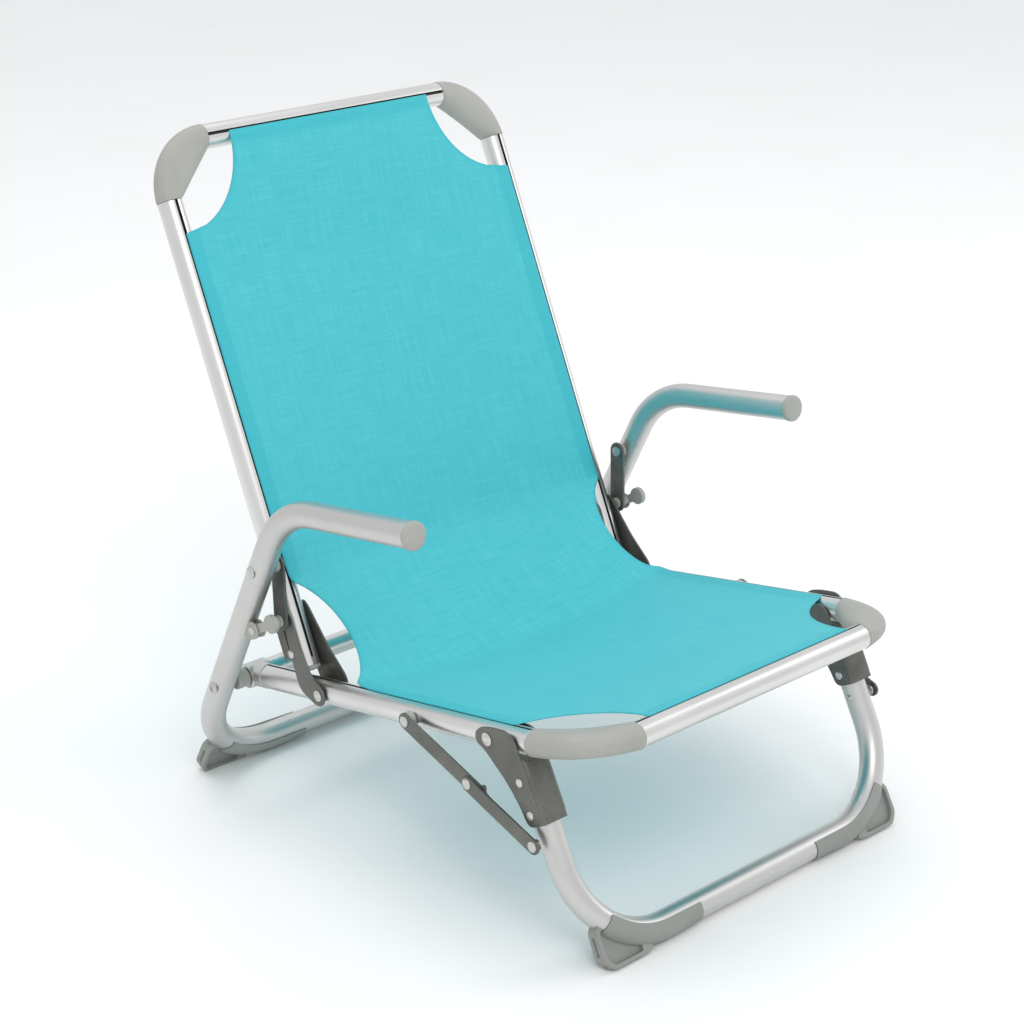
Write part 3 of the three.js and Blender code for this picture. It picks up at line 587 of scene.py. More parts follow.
# ---------- slotted rails
def slotted_section():
    """C-shaped tube wall as (side, cross) pairs; the slot faces +cross."""
    steps = 40
    walls = []
    for radius in (RAIL_R, RAIL_R - RAIL_WALL):
        half_slot = math.asin(SLOT_W / 2 / radius)
        start = math.pi / 2 + half_slot
        angles = [start + i / steps * (2 * math.pi - 2 * half_slot) for i in range(steps + 1)]
        walls.append([(radius * math.cos(a), radius * math.sin(a)) for a in angles])
    return walls[0] + walls[1][::-1]


def rail(name, start, end, slot_facing, body):
    """One slotted rail, with a near-black core inside it that paints the shade seen through the slot."""
    along = (end - start).normalized()
    side = slot_facing.cross(along).normalized()
    length = (end - start).length
    outline = slotted_section()
    rings = [[p + side * a + slot_facing * b for a, b in outline] for p in (start, end)]
    shell = loft(name, rings, BRIGHT, [0, length], sharp=30)
    bevel(shell, 0.3 * MM, 2, 40)
    place(shell, body)

    # near-black core in the bore: painted shade for the dark inside of the tube, seen through the slot
    shade_core_r = 6.2 * MM
    shade_core_up = 3.5 * MM
    inset = along * 1 * MM
    outline = circle(shade_core_r, 20)
    rings = [[p + slot_facing * (shade_core_up + b) + side * a for a, b in outline]
             for p in (start + inset, end - inset)]
    place(loft(name + "_channel", rings, SLOT_SHADE, [0, length]), body)


def add_rails():
    up = at(0, SEAT_UP)
    out = at(0, BACK_OUT)
    for name, sign in SIDES.items():
        x = sign * RAIL_X
        front = at(x, plus(SEAT_FRONT, SEAT_DIR, FRONT_ELBOW[0]))
        rail(f"seat_rail_{name}", front, at(x, on_rail(RAIL_REAR_Y)), up, "seat_frame")
        top = at(x, on_stile(TOP_ELBOW[0]))
        rail(f"back_stile_{name}", at(x, on_stile(STILE_LENGTH)), top, out, "back_frame")
    half = RAIL_X - FRONT_ELBOW[1]
    rail("front_rail", at(-half, SEAT_FRONT), at(half, SEAT_FRONT), up, "seat_frame")
    half = RAIL_X - TOP_ELBOW[1]
    rail("top_rail", at(-half, TOP_CORNER), at(half, TOP_CORNER), out, "back_frame")


# ---------- plastic corner pieces
def corner_piece(name, sign, corner, along, legs, body):
    """Bulged quarter bend: round outside, straight diagonal inside, round mouths on both tubes."""
    side_leg, cross_leg = legs
    r = FITTING_R
    origin = at(sign * RAIL_X, corner)
    s_axis = at(0, along)
    c_axis = ACROSS * -sign
    normal = s_axis.cross(c_axis).normalized()
    thinner = 1.2 * MM  # how much flatter the middle of the bend is than its mouths
    squarer = 0.35  # added there to the section's power, in which 2 is an ellipse
    steps = 26
    rings = []
    lengths = []
    for k in range(steps + 1):
        theta = math.pi / 2 * k / steps
        sin_t, cos_t = math.sin(theta), math.cos(theta)
        outer = (side_leg - (side_leg + r) * sin_t, cross_leg - (cross_leg + r) * cos_t)
        if k == 0:
            inner = (side_leg, r)
        elif k == steps:
            inner = (r, cross_leg)
        else:
            a = (side_leg - r) / ((side_leg + r) * sin_t)
            b = (cross_leg - r) / ((cross_leg + r) * cos_t)
            share = b / (a + b)
            inner = (side_leg - (side_leg - r) * share, r + (cross_leg - r) * share)
        centre = ((outer[0] + inner[0]) / 2, (outer[1] + inner[1]) / 2)
        reach = (outer[0] - centre[0], outer[1] - centre[1])
        half = math.hypot(*reach)
        out = (reach[0] / half, reach[1] / half)
        bulge = math.sin(2 * theta)
        depth = r - thinner * bulge
        power = 2.0 + squarer * bulge
        ring = []
        for x, y in circle(1.0, 48):
            u = math.copysign(abs(x) ** (2 / power), x) * half
            w = math.copysign(abs(y) ** (2 / power), y) * depth
            in_plane = s_axis * (centre[0] + out[0] * u) + c_axis * (centre[1] + out[1] * u)
            ring.append(origin + in_plane + normal * w)
        rings.append(ring)
        lengths.append(theta * (side_leg + cross_leg) / 2)

    # eased mouths: two smaller rings outside each end, then the end face
    ease = 0.7 * MM
    back = 0.3 * MM

    def lip(ring, mouth, way, shrink):
        return [mouth + (v - mouth) * shrink - way * back for v in ring]

    side_mouth = origin + s_axis * side_leg
    cross_mouth = origin + c_axis * cross_leg
    first = [lip(rings[0], side_mouth, s_axis, shrink) for shrink in (0.93, 0.955)]
    last = [lip(rings[-1], cross_mouth, c_axis, shrink) for shrink in (0.955, 0.93)]
    rings[0] = [v - s_axis * (back + ease) for v in rings[0]]
    rings[-1] = [v - c_axis * (back + ease) for v in rings[-1]]
    lengths = [-2 * MM, -1 * MM, *lengths, lengths[-1] + 1 * MM, lengths[-1] + 2 * MM]
    place(loft(name, first + rings + last, GREY, lengths, sharp=40), body)


def add_corners():
    down = (-BACK_DIR[0], -BACK_DIR[1])
    for name, sign in SIDES.items():
        corner_piece(f"front_elbow_{name}", sign, SEAT_FRONT, SEAT_DIR, FRONT_ELBOW, "seat_frame")
        corner_piece(f"top_elbow_{name}", sign, TOP_CORNER, down, TOP_ELBOW, "back_frame")


# ---------- round tubes
def add_round_tubes():
    left = [at(-ARM_X, ARM_END), at(-ARM_X, ARM_KNEE), at(-ARM_X, REAR_BAR)]
    right = [at(ARM_X, REAR_BAR), at(ARM_X, ARM_KNEE), at(ARM_X, ARM_END)]
    path = bent_path(left + right, [ARM_BEND_R, REAR_BEND_R, REAR_BEND_R, ARM_BEND_R], 4)
    place(tube("arm_and_rear_leg_tube", path, ARM_R, SATIN), "arm_frame")

    left = [at(-RAIL_X, LEG_TOP), at(-RAIL_X, FRONT_BAR)]
    right = [at(RAIL_X, FRONT_BAR), at(RAIL_X, LEG_TOP)]
    path = bent_path(left + right, [FRONT_BEND_R, FRONT_BEND_R], 4)
    place(tube("front_leg_tube", path, RAIL_R, SATIN), "front_leg")

    half = RAIL_X - 13.6 * MM  # ends against the hubs of the rail ends
    path = [(at(-half, ARM_PIVOT), ACROSS), (at(half, ARM_PIVOT), ACROSS)]
    place(tube("rear_crossbar", path, 11 * MM, BRIGHT, Vector((0, 0, 1)), 40), "seat_frame")


# ---------- plugs, spacers and rail ends
def add_plugs(name, sign):
    r = 13.6
    profile = [(-14, 0), (-14, 11), (0.3, 11), (0.3, r - 0.5), (0.7, r), (3.8, r), (4.6, r - 0.4),
               (5.2, r - 1.3), (5.7, r - 4), (6.0, r - 8), (6.1, 0)]
    end = at(sign * ARM_X, ARM_END)
    place(lathe(f"arm_cap_{name}", profile, end, at(0, ARM_DIR), GREY, 48), "arm_frame")
    r = 12.4
    profile = [(-8, 0), (-8, 10), (0.3, 10), (0.3, r), (3.2, r), (4.2, r - 0.6), (4.8, r - 2), (5, 0)]
    end = at(sign * RAIL_X, on_stile(STILE_LENGTH))
    place(lathe(f"stile_cap_{name}", profile, end, -at(0, BACK_DIR), GREY, 40), "back_frame")


def add_rail_end(name, sign):
    x = sign * RAIL_X
    start = plus(on_rail(RAIL_REAR_Y), SEAT_DIR, GAP)
    length = distance(start, ARM_PIVOT) / MM
    profile = [(0, 12), (0.5, 13), (length - 6, 13), (length + 1, 12.4)]
    sleeve = lathe("sleeve", profile, at(x, start), at(0, SEAT_DIR), SATIN, 40)
    profile = [(-13, 11.5), (-11.8, 12.9), (11.8, 12.9), (13, 11.5)]
    hub = lathe("hub", profile, at(x, ARM_PIVOT), ACROSS, SATIN, 40)
    place(join(f"rail_end_{name}", sleeve, hub), "seat_frame")
    inner = RAIL_X / MM + 13.3
    outer = (ARM_X - ARM_R - GAP) / MM
    profile = [(inner, 8.6), (inner + 0.8, 9.6), (outer - 1, 9.6), (outer, 8.6)]
    place(pin(f"arm_spacer_{name}", sign, profile, ARM_PIVOT, GREY, 32), "arm_frame")


def add_tube_ends():
    for name, sign in SIDES.items():
        add_plugs(name, sign)
        add_rail_end(name, sign)


# ---------- feet
def foot_clip(corner, u_axis, w_axis, bend_r, tube_r, reach):
    """Open clip round the outside of the floor bend; its walls thin out towards both ends."""
    leg_end = 31 * MM
    inner_r = tube_r + 0.25 * MM
    wall = 1.95 * MM
    thinnest = 0.35  # share of the wall at the ends
    half_wrap = math.radians(112)
    steps = 30
    angles = [half_wrap * (2 * k / steps - 1) for k in range(steps + 1)]
    path = bent_path([corner + w_axis * (bend_r + 1 * MM), corner, corner - u_axis * reach], [bend_r], 3)
    kept = [station for station in path if (station[0] - corner).dot(w_axis) <= leg_end + 1e-6]
    centre = corner + (w_axis - u_axis) * bend_r
    rings = []
    for i, (point, tangent) in enumerate(kept):
        outward = point - centre
        outward -= tangent * outward.dot(tangent)
        if outward.length < 1e-6 or (point - corner).dot(u_axis) < -bend_r:
            outward = -w_axis
        outward.normalize()
        cross = tangent.cross(outward)
        share = min(1.0, thinnest + i / 3, thinnest + (len(kept) - 1 - i) / 0.9)
        outer_r = inner_r + wall * share
        ring = [point + (outward * math.cos(a) + cross * math.sin(a)) * outer_r for a in angles]
        ring += [point + (outward * math.cos(a) + cross * math.sin(a)) * inner_r for a in reversed(angles)]
        rings.append(ring)
    return loft("clip", rings, FOOT_GREY, [5 * MM * i for i in range(len(rings))], sharp=34)


def foot(name, sign, x, leg_top, bar, bend_r, tube_r, reach, body):
    """Clip on the tube, and a fin in the plane of the bend: a thin web with a thick rim."""
    leg_dir = direction(bar, leg_top)
    corner = at(sign * x, bar)
    u_axis = ACROSS * sign
    w_axis = at(0, leg_dir)
    normal = u_axis.cross(w_axis).normalized()
    ground = -bar[1] / leg_dir[1] / MM
    rim_outer = in_mm([(-68, ground + 2), (-58, ground), (-15, ground), (-7, -6), (-8, 22), (-16, 29),
                       (-38, 12), (-62, 1)])
    rim_inner = in_mm([(-54, ground + 4.5), (-52, ground + 4), (-18, ground + 4), (-11.5, -3.5), (-12, 19),
                       (-17, 23), (-38, 9), (-56, 0)])
    half_web = 2 * MM
    half_rim = 6.6 * MM

    def to_world(across, p):
        return corner + u_axis * p[0] + w_axis * p[1] + normal * across

    clip = foot_clip(corner, u_axis, w_axis, bend_r, tube_r, reach)
    web = slab("web", rounded(rim_outer, 3 * MM), -half_web, half_web, FOOT_GREY, 0.4 * MM, to_world)
    outer_line = rounded(rim_outer, 5 * MM, 6)
    inner_line = rounded(rim_inner, 5 * MM, 6)
    vertices = []
    for level in (-half_rim, half_rim):
        vertices += [to_world(level, p) for p in outer_line + inner_line]
    n = len(outer_line)
    faces = []
    for i in range(n):
        j = (i + 1) % n
        faces.append((i, j, n + j, n + i))
        faces.append((2 * n + i, 3 * n + i, 3 * n + j, 2 * n + j))
        faces.append((i, 2 * n + i, 2 * n + j, j))
        faces.append((n + i, n + j, 3 * n + j, 3 * n + i))
    rim = new_object("rim", vertices, faces, FOOT_GREY, sharp=40)
    bevel(rim, 0.7 * MM, 3, 40)
    obj = join(name, clip, web, rim)
    for vertex in obj.data.vertices:
        vertex.co.z = max(vertex.co.z, 0)
    place(obj, body)


def add_feet():
    rear = (ARM_X, ARM_KNEE, REAR_BAR, REAR_BEND_R, ARM_R, 138 * MM, "arm_frame")
    front = (RAIL_X, LEG_TOP, FRONT_BAR, FRONT_BEND_R, RAIL_R, 132 * MM, "front_leg")
    for name, sign in SIDES.items():
        foot(f"rear_foot_{name}", sign, *rear)
        foot(f"front_foot_{name}", sign, *front)


# ---------- brackets, straps and links
def channel(ends, facing, depth, bend):
    """Pressed channel between two points: web in front, two flanges back, rounded bends."""
    half = PLATE_OUT - 0.05 * MM
    small = bend - PLATE_T
    steps = 6
    outer = []
    inner = []
    for k in range(steps + 1):
        a = math.pi / 2 * k / steps
        outer.append((half - bend + bend * math.sin(a), bend * math.cos(a) - bend))
        inner.append((half - bend + small * math.sin(a), small * math.cos(a) - bend))
    outer.append((half, -depth))
    inner.append((half - PLATE_T, -depth))

    def whole(line):
        return [(-a, b) for a, b in reversed(line)] + line

    section = whole(outer) + whole(inner)[::-1]
    rings = [[end + ACROSS * a + facing * b for a, b in section] for end in ends]
    return loft("web", rings, STEEL, [0, (ends[1] - ends[0]).length], sharp=30)


def add_rivets(name, x, centres, body, radius):
    """Rivet heads on both cheeks of a channel that is centred on x."""
    face = PLATE_OUT / MM
    profile = [(face - 0.4, radius)] + dome(face, RIVET / MM, radius)
    heads = [lathe("head", profile, at(x, centre), ACROSS * way, RIVET_METAL)
             for centre in centres for way in (-1, 1)]
    place(join(name, *heads), body)


def add_hinge_brackets():
    narrow = in_mm([(113, 222), (107, 227), (99, 223), (86, 190), (68, 166), (52, 158), (48.5, 149),
                    (53, 140), (62, 138), (88, 147), (102, 183)])
    wide = in_mm([(124, 222), (116, 227), (108, 221), (78, 188), (50, 164), (47, 150), (52, 140), (62, 138),
                  (92, 148), (117, 206)])
    web_off = RAIL_R + 2.8 * MM
    facing = -at(0, BACK_OUT)

    def behind_stile(z):
        return plus(on_stile((TOP_CORNER[1] - z) / BACK_DIR[1]), BACK_OUT, -web_off)

    for name, sign in SIDES.items():
        x = sign * RAIL_X
        cheeks = [slab("cheek", rounded(outline, 9 * MM, 6), x + way * PLATE_IN, x + way * PLATE_OUT, STEEL)
                  for way, outline in ((-1, narrow), (1, wide))]
        web = channel([at(x, behind_stile(z)) for z in (176 * MM, 206 * MM)], facing, 14 * MM, 3 * MM)
        place(join(f"hinge_bracket_{name}", *cheeks, web), "back_frame")
        add_rivets(f"stile_rivet_{name}", x, [STILE_RIVET], "back_frame", 4.6)


def add_leg_brackets():
    def beside_rail(along, off):
        return plus(plus(LEG_PIVOT, SEAT_DIR, along * MM), SEAT_UP, off * MM)

    top, bottom = -5, 54  # ends of the channel, mm down the leg
    web_off = RAIL_R / MM + 2.8
    front = [beside_leg(bottom, -8), beside_leg(bottom, web_off - 2), beside_leg(top, web_off - 2),
             beside_rail(-36, 5)]
    outboard_ear = [(-27, 12.5), (-6, 12.7), (8, 10.5), (16, 4), (15.5, -5), (5, -11.5)]
    # the inboard ear is smaller, because it turns under the cloth
    inboard_ear = [(-27, 9), (-6, 9.2), (5, 8.8), (9.4, 3.8), (9.6, -3), (5, -9)]
    heel = [beside_leg(6, -19), beside_leg(20, -14), beside_leg(36, -10)]
    for name, sign in SIDES.items():
        x = sign * RAIL_X
        cheeks = []
        for way in (-1, 1):
            ear = outboard_ear if way == sign else inboard_ear
            outline = rounded(front + [beside_rail(*p) for p in ear] + heel, 9 * MM, 6)
            cheeks.append(slab("cheek", outline, x + way * PLATE_IN, x + way * PLATE_OUT, STEEL))
        ends = [at(x, beside_leg(along, web_off)) for along in (top, bottom)]
        web = channel(ends, at(0, LEG_AHEAD), 16 * MM, 4.5 * MM)
        place(join(f"leg_bracket_{name}", *cheeks, web), "front_leg")
        rivets = [beside_leg(12, 0), beside_leg(43, 0)]
        add_rivets(f"leg_rivets_{name}", x, rivets, "front_leg", 4.3)


def hinge_pin(name, centre, r):
    """A plain core with a peened head on each side."""
    base = PLATE_OUT / MM + 0.3
    core = [(-base - 0.1, 3.8), (base + 0.1, 3.8)]
    head = [(base - 0.05, r - 0.6)] + dome(base, 1.0, r)[:3]
    head += [(base + 0.9, 0.62 * r), (base + 0.7, 0.55 * r), (base + 1.5, 0.42 * r), (base + 1.9, 0)]
    parts = [lathe("core", core, centre, ACROSS, RIVET_METAL)]
    parts += [lathe("head", head, centre, ACROSS * way, RIVET_METAL, 32) for way in (-1, 1)]
    place(join(name, *parts), "seat_frame")


def add_hinge_pins():
    for name, sign in SIDES.items():
        hinge_pin(f"back_hinge_pin_{name}", at(sign * RAIL_X, BACK_PIVOT), 5.6)
        hinge_pin(f"leg_hinge_pin_{name}", at(sign * RAIL_X, LEG_PIVOT), 6.4)


def add_straps():
    gap = GAP / MM
    inboard = LINK_X / MM  # the strap's two faces
    outboard = (LINK_X + STRAP_T) / MM
    arm_face = (ARM_X + ARM_R) / MM + 0.2
    start = outboard + gap
    end = (ARM_X - ARM_R) / MM - gap
    top_pin = [(inboard - 1.9, 3), (inboard - 1.4, 5.2), (inboard - gap, 5.4), (inboard - gap, 3.9),
               (arm_face, 3.9), (arm_face - 0.3, 6)] + dome(arm_face, 1.9, 6)
    spacer = [(start, 6.4), (start + 0.5, 7), (end - 0.5, 7), (end, 6.4)]
    low = (RAIL_X + PLATE_OUT + RIVET) / MM + gap
    tip = ARM_X / MM - 6.1
    low_pin = [(low, 5.2), (low + 0.5, 5.9), (inboard - gap, 5.9), (inboard - gap, 3.9), (start, 3.9),
               (start, 5.9), (start + 1.1, 5.9), (start + 1.6, 5), (start + 1.6, 4), (tip - 0.5, 4),
               (tip, 3.4)]
    outline = link_outline(STRAP_TOP, 10 * MM, STRAP_LOW, 10 * MM)
    for name, sign in SIDES.items():
        strap = slab(f"strap_{name}", outline, sign * LINK_X, sign * (LINK_X + STRAP_T), STEEL)
        place(strap, "straps")
        place(pin(f"strap_top_pin_{name}", sign, top_pin, STRAP_TOP, RIVET_METAL), "arm_frame")
        place(pin(f"strap_spacer_{name}", sign, spacer, STRAP_TOP, GREY), "arm_frame")
        place(pin(f"strap_low_pin_{name}", sign, low_pin, STRAP_LOW, GREY), "straps")


def add_braces():
    run = direction(BRACE_TOP, BRACE_MID)
    side = (-run[1], run[0])

    def beside(along, off):
        return plus(plus(BRACE_MID, run, along * MM), side, off * MM)

    upper = (LINK_X, LINK_X + STRAP_T)
    lower = (upper[1] + GAP, upper[1] + GAP + STRAP_T)
    skin = 0.02 * MM  # keeps the faces of the link's two halves apart
    upper_line = link_outline(BRACE_TOP, 8 * MM, BRACE_MID, 8 * MM)
    lower_line = link_outline(BRACE_MID, 7.4 * MM, BRACE_LOW, 7.8 * MM)
    hook = [(0, -8), (14, -8), (16, -11), (20, -11), (21.5, -5), (35, -4), (37, 3), (33, 8), (0, 8)]
    hook_line = rounded([beside(*p) for p in hook], 3.5 * MM, 5)
    for name, sign in SIDES.items():
        bar = slab("bar", upper_line, sign * upper[0], sign * upper[1], STEEL)
        tip = slab("tip", hook_line, sign * (upper[0] + skin), sign * (upper[1] - skin), STEEL)
        place(join(f"brace_upper_{name}", bar, tip), "brace_uppers")
        bar = slab(f"brace_lower_{name}", lower_line, sign * lower[0], sign * lower[1], STEEL)
        place(bar, "brace_lowers")
        add_brace_rivets(name, sign, upper[0] / MM, upper[1] / MM, lower[1] / MM)


def add_brace_rivets(name, sign, upper_in, upper_out, lower_out):
    """Distances in mm from the middle plane to faces of the two links."""
    heads = []
    bracket_face = (RAIL_X + PLATE_OUT) / MM
    for centre, inner in ((BRACE_MID, upper_in - 1.8), (BRACE_LOW, bracket_face + 2.1)):
        profile = [(inner, 3.4), (inner + 0.6, 5.4), (inner + 1.4, 5.4), (inner + 1.4, 3.8),
                   (lower_out - 0.2, 3.8), (lower_out - 0.2, 5.4)] + dome(lower_out, 1.7, 5.4)
        heads.append(pin("rivet", sign, profile, centre, RIVET_METAL))
    place(join(f"brace_rivets_{name}", *heads), "brace_lowers")

    # upper pivot: bright heads on both ends, grey bushing between the rail and the link
    collar = (RAIL_R + GAP) / MM
    start = RAIL_X / MM + collar
    profile = [(start, 7), (start + 0.5, 8), (upper_in - 0.8, 8), (upper_in - 0.3, 7.2)]
    place(pin(f"brace_pin_{name}", sign, profile, BRACE_TOP, GREY), "seat_frame")
    face = upper_out + 0.2
    profile = [(RAIL_X / MM - collar, 3.8), (face, 3.8), (face, 5.6)] + dome(face, 1.8, 5.6)
    outer = pin("outer", sign, profile, BRACE_TOP, RIVET_METAL)
    profile = [(collar - 0.6, 5.6)] + dome(collar, 1.8, 5.6)
    inner = lathe("inner", profile, at(sign * RAIL_X, BRACE_TOP), ACROSS * -sign, RIVET_METAL)
    place(join(f"brace_rivet_top_{name}", outer, inner), "seat_frame")

    # inner head of the rivet that carries the brace on the leg
    leg_face = RAIL_R / MM - 0.1
    profile = [(leg_face - 0.7, 4.2)] + dome(leg_face, 1.8, 4.2)
    stud = lathe(f"leg_stud_{name}", profile, at(sign * RAIL_X, BRACE_LOW), ACROSS * -sign, RIVET_METAL)
    place(stud, "front_leg")


# ---------- bolts and catch levers
def add_arm_bolts():
    face = (ARM_X + ARM_R) / MM + 0.1
    profile = [(RAIL_X / MM - 20, 3.4), (face, 3.4), (face - 0.6, 6.2), (face, 6.4), (face + 0.9, 6.2),
               (face + 1.9, 5.0), (face + 2.3, 3.6), (face + 2.1, 3.0), (face + 0.9, 2.7), (face + 0.9, 0)]
    for name, sign in SIDES.items():
        place(pin(f"arm_bolt_{name}", sign, profile, ARM_PIVOT, RIVET_METAL, 32), "arm_frame")


def dog_bone(a, ra, b, rb, neck):
    """Outline of two round ends joined by a narrower neck with soft fillets."""
    run = direction(a, b)
    side = (-run[1], run[0])
    length = distance(a, b)
    soft = 1.2 * MM
    fillet = 0.35
    steps = 66

    def half_width(s):
        round_a = math.sqrt(max(ra * ra - s * s, 0))
        round_b = math.sqrt(max(rb * rb - (s - length) ** 2, 0))
        widths = (round_a, round_b, neck if 0 <= s <= length else 0)
        widest = max(widths)
        return widest + fillet * soft * math.log(sum(math.exp((w - widest) / soft) for w in widths))

    upper = []
    for i in range(steps + 1):
        s = -ra + (length + ra + rb) * (0.5 - 0.5 * math.cos(math.pi * i / steps))
        upper.append((s, 0 if i in (0, steps) else half_width(s)))
    line = upper + [(s, -w) for s, w in reversed(upper[1:-1])]
    return [plus(plus(a, run, s), side, w) for s, w in line]


def add_levers():
    def beside_hub(along, off):
        return plus(plus(LEVER_PIVOT, REAR_LEG_DIR, along * MM), TOWARD_LEG, off * MM)

    half = 3 * MM
    cheek_in = half + GAP
    cheek_out = cheek_in + 2.2 * MM
    back_half = cheek_in + 0.5 * MM
    tip = plus(LEVER_PIVOT, (-25.7 * MM, 14 * MM))
    lever_line = dog_bone(LEVER_PIVOT, 5.6 * MM, tip, 9.4 * MM, 4.8 * MM)
    eye = link_outline(LEVER_PIVOT, 9 * MM, beside_hub(5, 5), 9 * MM, 14)
    back = rounded([beside_hub(6.5, -3), beside_hub(12, -3), beside_hub(12, 7), beside_hub(6.5, 7)], 2 * MM)
    face = cheek_in / MM + 2.3
    head = [(face - 0.5, 4.2), (face + 0.5, 4.2), (face + 1.3, 3.4), (face + 1.2, 2.2), (face + 0.5, 1.7),
            (face + 0.5, 0)]
    for name, sign in SIDES.items():
        x = sign * ARM_X
        lever = slab(f"catch_lever_{name}", lever_line, x - half, x + half, GREY, 1.1 * MM, segments=4)
        place(lever, f"catch_lever_{name}_body")
        lug = [slab("cheek", eye, x + way * cheek_in, x + way * cheek_out, GREY, 0.6 * MM)
               for way in (-1, 1)]
        lug.append(slab("back", back, x - back_half, x + back_half, GREY, 0.4 * MM))
        place(join(f"lever_lug_{name}", *lug), "arm_frame")
        heads = [lathe("head", head, at(x, LEVER_PIVOT), ACROSS * way, RIVET_METAL) for way in (-1, 1)]
        place(join(f"lever_pin_{name}", *heads), "arm_frame")


# ---------- sling
CLOTH_RISE = RAIL_R - 0.2 * MM  # cloth surface above the tube axis, in the slot's mouth
SAG = 15 * MM
TOP_HALF = 130 * MM  # half-width of the cloth in the top rail's slot
FRONT_HALF = 137 * MM  # and in the front rail's slot
SIDE_START = 92 * MM  # from the top or front rail to where the side hems start
SIDE_LEAVES = 450 * MM  # distance from the top corner where the hem leaves the stile
SEAT_LEAVES_Y = 17 * MM  # where the hem leaves the seat rail; between the two it hangs free
WAIST_HALF = 184 * MM
SIDE_HEM = 17 * MM
END_HEM = 15 * MM
CUT_OUT_HEM = 3 * MM
BACK_STEPS = 88
WAIST_STEPS = 24
SEAT_STEPS = 64
COLUMNS = 120


def smooth(t):
    t = min(max(t, 0.0), 1.0)
    return t * t * (3 - 2 * t)


def half_width(from_end, end_half):
    """The cut-out of a corner is a quarter of a rounded shape that ends at the side hem."""
    if from_end >= SIDE_START:
        return RAIL_X
    t = from_end / SIDE_START
    return end_half + (RAIL_X - end_half) * (1 - math.sqrt(1 - t * t))


def sling_line():
    """Middle line of the taut cloth from the top rail to the front rail: points, outs, half-widths."""
    line = []
    for i in range(BACK_STEPS + 1):
        d = SIDE_LEAVES * i / BACK_STEPS
        line.append((plus(on_stile(d), BACK_OUT, CLOTH_RISE), BACK_OUT, half_width(d, TOP_HALF)))

    # the cloth cuts straight across the corner between the back and the seat
    a = line[-1][0]
    b = plus(on_rail(SEAT_LEAVES_Y), SEAT_UP, CLOTH_RISE)
    for i in range(1, WAIST_STEPS):
        t = i / WAIST_STEPS
        out = Vector(BACK_OUT).lerp(Vector(SEAT_UP), smooth(t)).normalized()
        point = (a[0] + t * (b[0] - a[0]), a[1] + t * (b[1] - a[1]))
        inset = (1 - (2 * t - 1) ** 2) ** 0.7
        line.append((point, out, RAIL_X - (RAIL_X - WAIST_HALF) * inset))
    for i in range(SEAT_STEPS + 1):
        y = SEAT_LEAVES_Y + (SEAT_FRONT[0] - SEAT_LEAVES_Y) * i / SEAT_STEPS
        half = half_width(y - SEAT_FRONT[0], FRONT_HALF)
        line.append((plus(on_rail(y), SEAT_UP, CLOTH_RISE), SEAT_UP, half))
    points, outs, widths = zip(*line)
    return [Vector(p) for p in points], [Vector(out) for out in outs], list(widths)


def average(values, i):
    return values[i] * 0.5 + (values[i - 1] + values[i + 1]) * 0.25


def soften(points, outs, widths):
    """Rounds the two creases of the middle line, and the ends of the waist."""
    rounds = 9
    reach = 5
    waist_end = BACK_STEPS + WAIST_STEPS
    for _ in range(rounds):
        for i in range(BACK_STEPS - reach, waist_end + reach):
            points[i] = average(points, i)
            outs[i] = average(outs, i).normalized()
    for i in range(BACK_STEPS - 1, waist_end + 2):
        widths[i] = average(widths, i)


def sag_at(x, half, to_end, from_edge):
    """Drop of the cloth at x; to_end rises from 0 at the end rails to 1 in the middle."""
    taut = 60 * MM  # width of the band beside a free edge that sags less
    loose = smooth(from_edge / taut) if half < RAIL_X - 1 * MM else 1.0
    return SAG * to_end * (1 - (x / RAIL_X) ** 2) ** 1.25 * (0.85 + 0.15 * loose)


def hem_at(half, from_edge, from_top, from_front):
    """1 on the doubled hems and 0 on the single cloth."""
    blur = 1.5 * MM
    band = SIDE_HEM if half > RAIL_X - 0.5 * MM else CUT_OUT_HEM
    sides = ((band, from_edge), (END_HEM, from_top), (END_HEM, from_front))
    return max(smooth((width - inside) / blur + 0.5) for width, inside in sides)


def add_sling():
    points, outs, widths = sling_line()
    soften(points, outs, widths)
    lengths = [0.0]
    for a, b in zip(points, points[1:]):
        lengths.append(lengths[-1] + (b - a).length)
    total = lengths[-1]
    end_run = 150 * MM  # the sag grows over this length from each end rail
    vertices = []
    uv_points = []
    hems = []
    for point, out, half, length in zip(points, outs, widths, lengths):
        to_end = smooth(length / end_run) * smooth((total - length) / end_run)
        for k in range(COLUMNS + 1):
            x = half * (2 * k / COLUMNS - 1)
            from_edge = half - abs(x)
            drop = sag_at(x, half, to_end, from_edge)
            vertices.append(at(x, point - out * drop))
            uv_points.append((x, length))
            hems.append(hem_at(half, from_edge, length, total - length))
    wide = COLUMNS + 1
    faces = []
    uvs = []
    for j in range(len(points) - 1):
        for i in range(j * wide, j * wide + COLUMNS):
            quad = (i, i + wide, i + wide + 1, i + 1)
            faces.append(quad)
            uvs += [uv_points[v] for v in quad]
    cloth = new_object("sling", vertices, faces, CLOTH, uvs, sharp=180)
    attribute = cloth.data.attributes.new("hem", "FLOAT", "POINT")
    attribute.data.foreach_set("value", hems)

    # the hems are a doubled layer, so they stand a little proud of the single cloth
    single_share = 0.45
    group = cloth.vertex_groups.new(name="hem")
    for index, hem in enumerate(hems):
        group.add([index], single_share + (1 - single_share) * hem, "REPLACE")
    thickness = cloth.modifiers.new("thickness", "SOLIDIFY")
    thickness.thickness = 0.8 * MM
    thickness.offset = 0
    thickness.vertex_group = "hem"

    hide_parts("seat_sling", "back_sling")
    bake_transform(cloth)


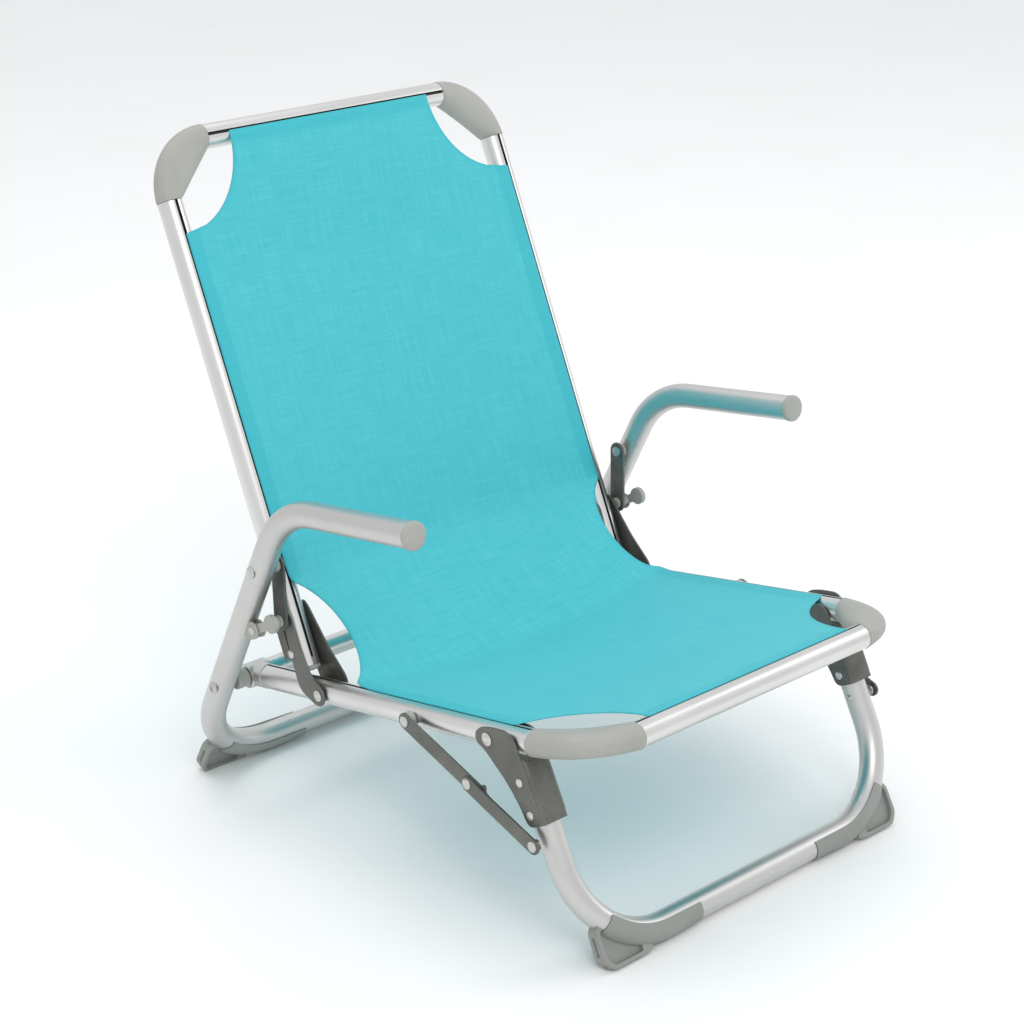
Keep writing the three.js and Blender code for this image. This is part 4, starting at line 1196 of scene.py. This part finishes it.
# ---------- floor, light and camera
def area_light(name, location, size, power):
    """A rectangular light that looks at the middle of the chair."""
    data = bpy.data.lights.new(name, "AREA")
    data.shape = "RECTANGLE"
    data.size, data.size_y = size
    data.energy = power
    obj = bpy.data.objects.new(name, data)
    bpy.context.scene.collection.objects.link(obj)
    obj.location = location
    aim = Vector((0, 0, 0.3)) - Vector(location)
    obj.rotation_euler = aim.to_track_quat("-Z", "Y").to_euler()


def add_stage():
    n = Nodes("pale_floor")
    clouds = n.to_range(n.noise(3, 3.0), 0, 1)
    n.colour(n.mix(clouds, (0.93, 0.93, 0.925), (0.95, 0.95, 0.95)))
    n.roughness(n.to_range(n.noise(40, 2.0), 0.75, 0.9))
    size = 40
    corners = [(-size, -size, 0), (size, -size, 0), (size, size, 0), (-size, size, 0)]
    floor = new_object("floor", corners, [(0, 1, 2, 3)], n.material)
    floor.location.z = -0.0004

    world = bpy.data.worlds.new("studio")
    bpy.context.scene.world = world
    world.use_nodes = True
    background = world.node_tree.nodes["Background"]
    background.inputs["Color"].default_value = (0.97, 0.985, 1.0, 1)
    background.inputs["Strength"].default_value = 0.86
    area_light("key", (-1.5, -2.4, 3.0), (1.6, 1.6), 30)
    area_light("side", (3.0, -1.2, 1.8), (1.2, 2.4), 16)
    area_light("top", (0.2, 0.9, 3.4), (2.4, 2.4), 24)


def add_camera():
    data = bpy.data.cameras.new("camera")
    data.lens = 82.6
    data.sensor_width = 36
    data.clip_end = 100
    camera = bpy.data.objects.new("camera", data)
    bpy.context.scene.collection.objects.link(camera)
    camera.location = (-1.5023, -1.5962, 1.1667)
    camera.rotation_euler = (math.radians(90 - 21.58), 0, math.radians(-42.80))
    bpy.context.scene.camera = camera


def set_view():
    scene = bpy.context.scene
    scene.view_settings.view_transform = "Standard"
    scene.view_settings.look = "None"
    scene.view_settings.exposure = 0.0


add_stage()
add_camera()
set_view()
add_rails()
add_corners()
add_round_tubes()
add_tube_ends()
add_feet()
add_hinge_brackets()
add_leg_brackets()
add_hinge_pins()
add_straps()
add_braces()
add_arm_bolts()
add_levers()
add_sling()
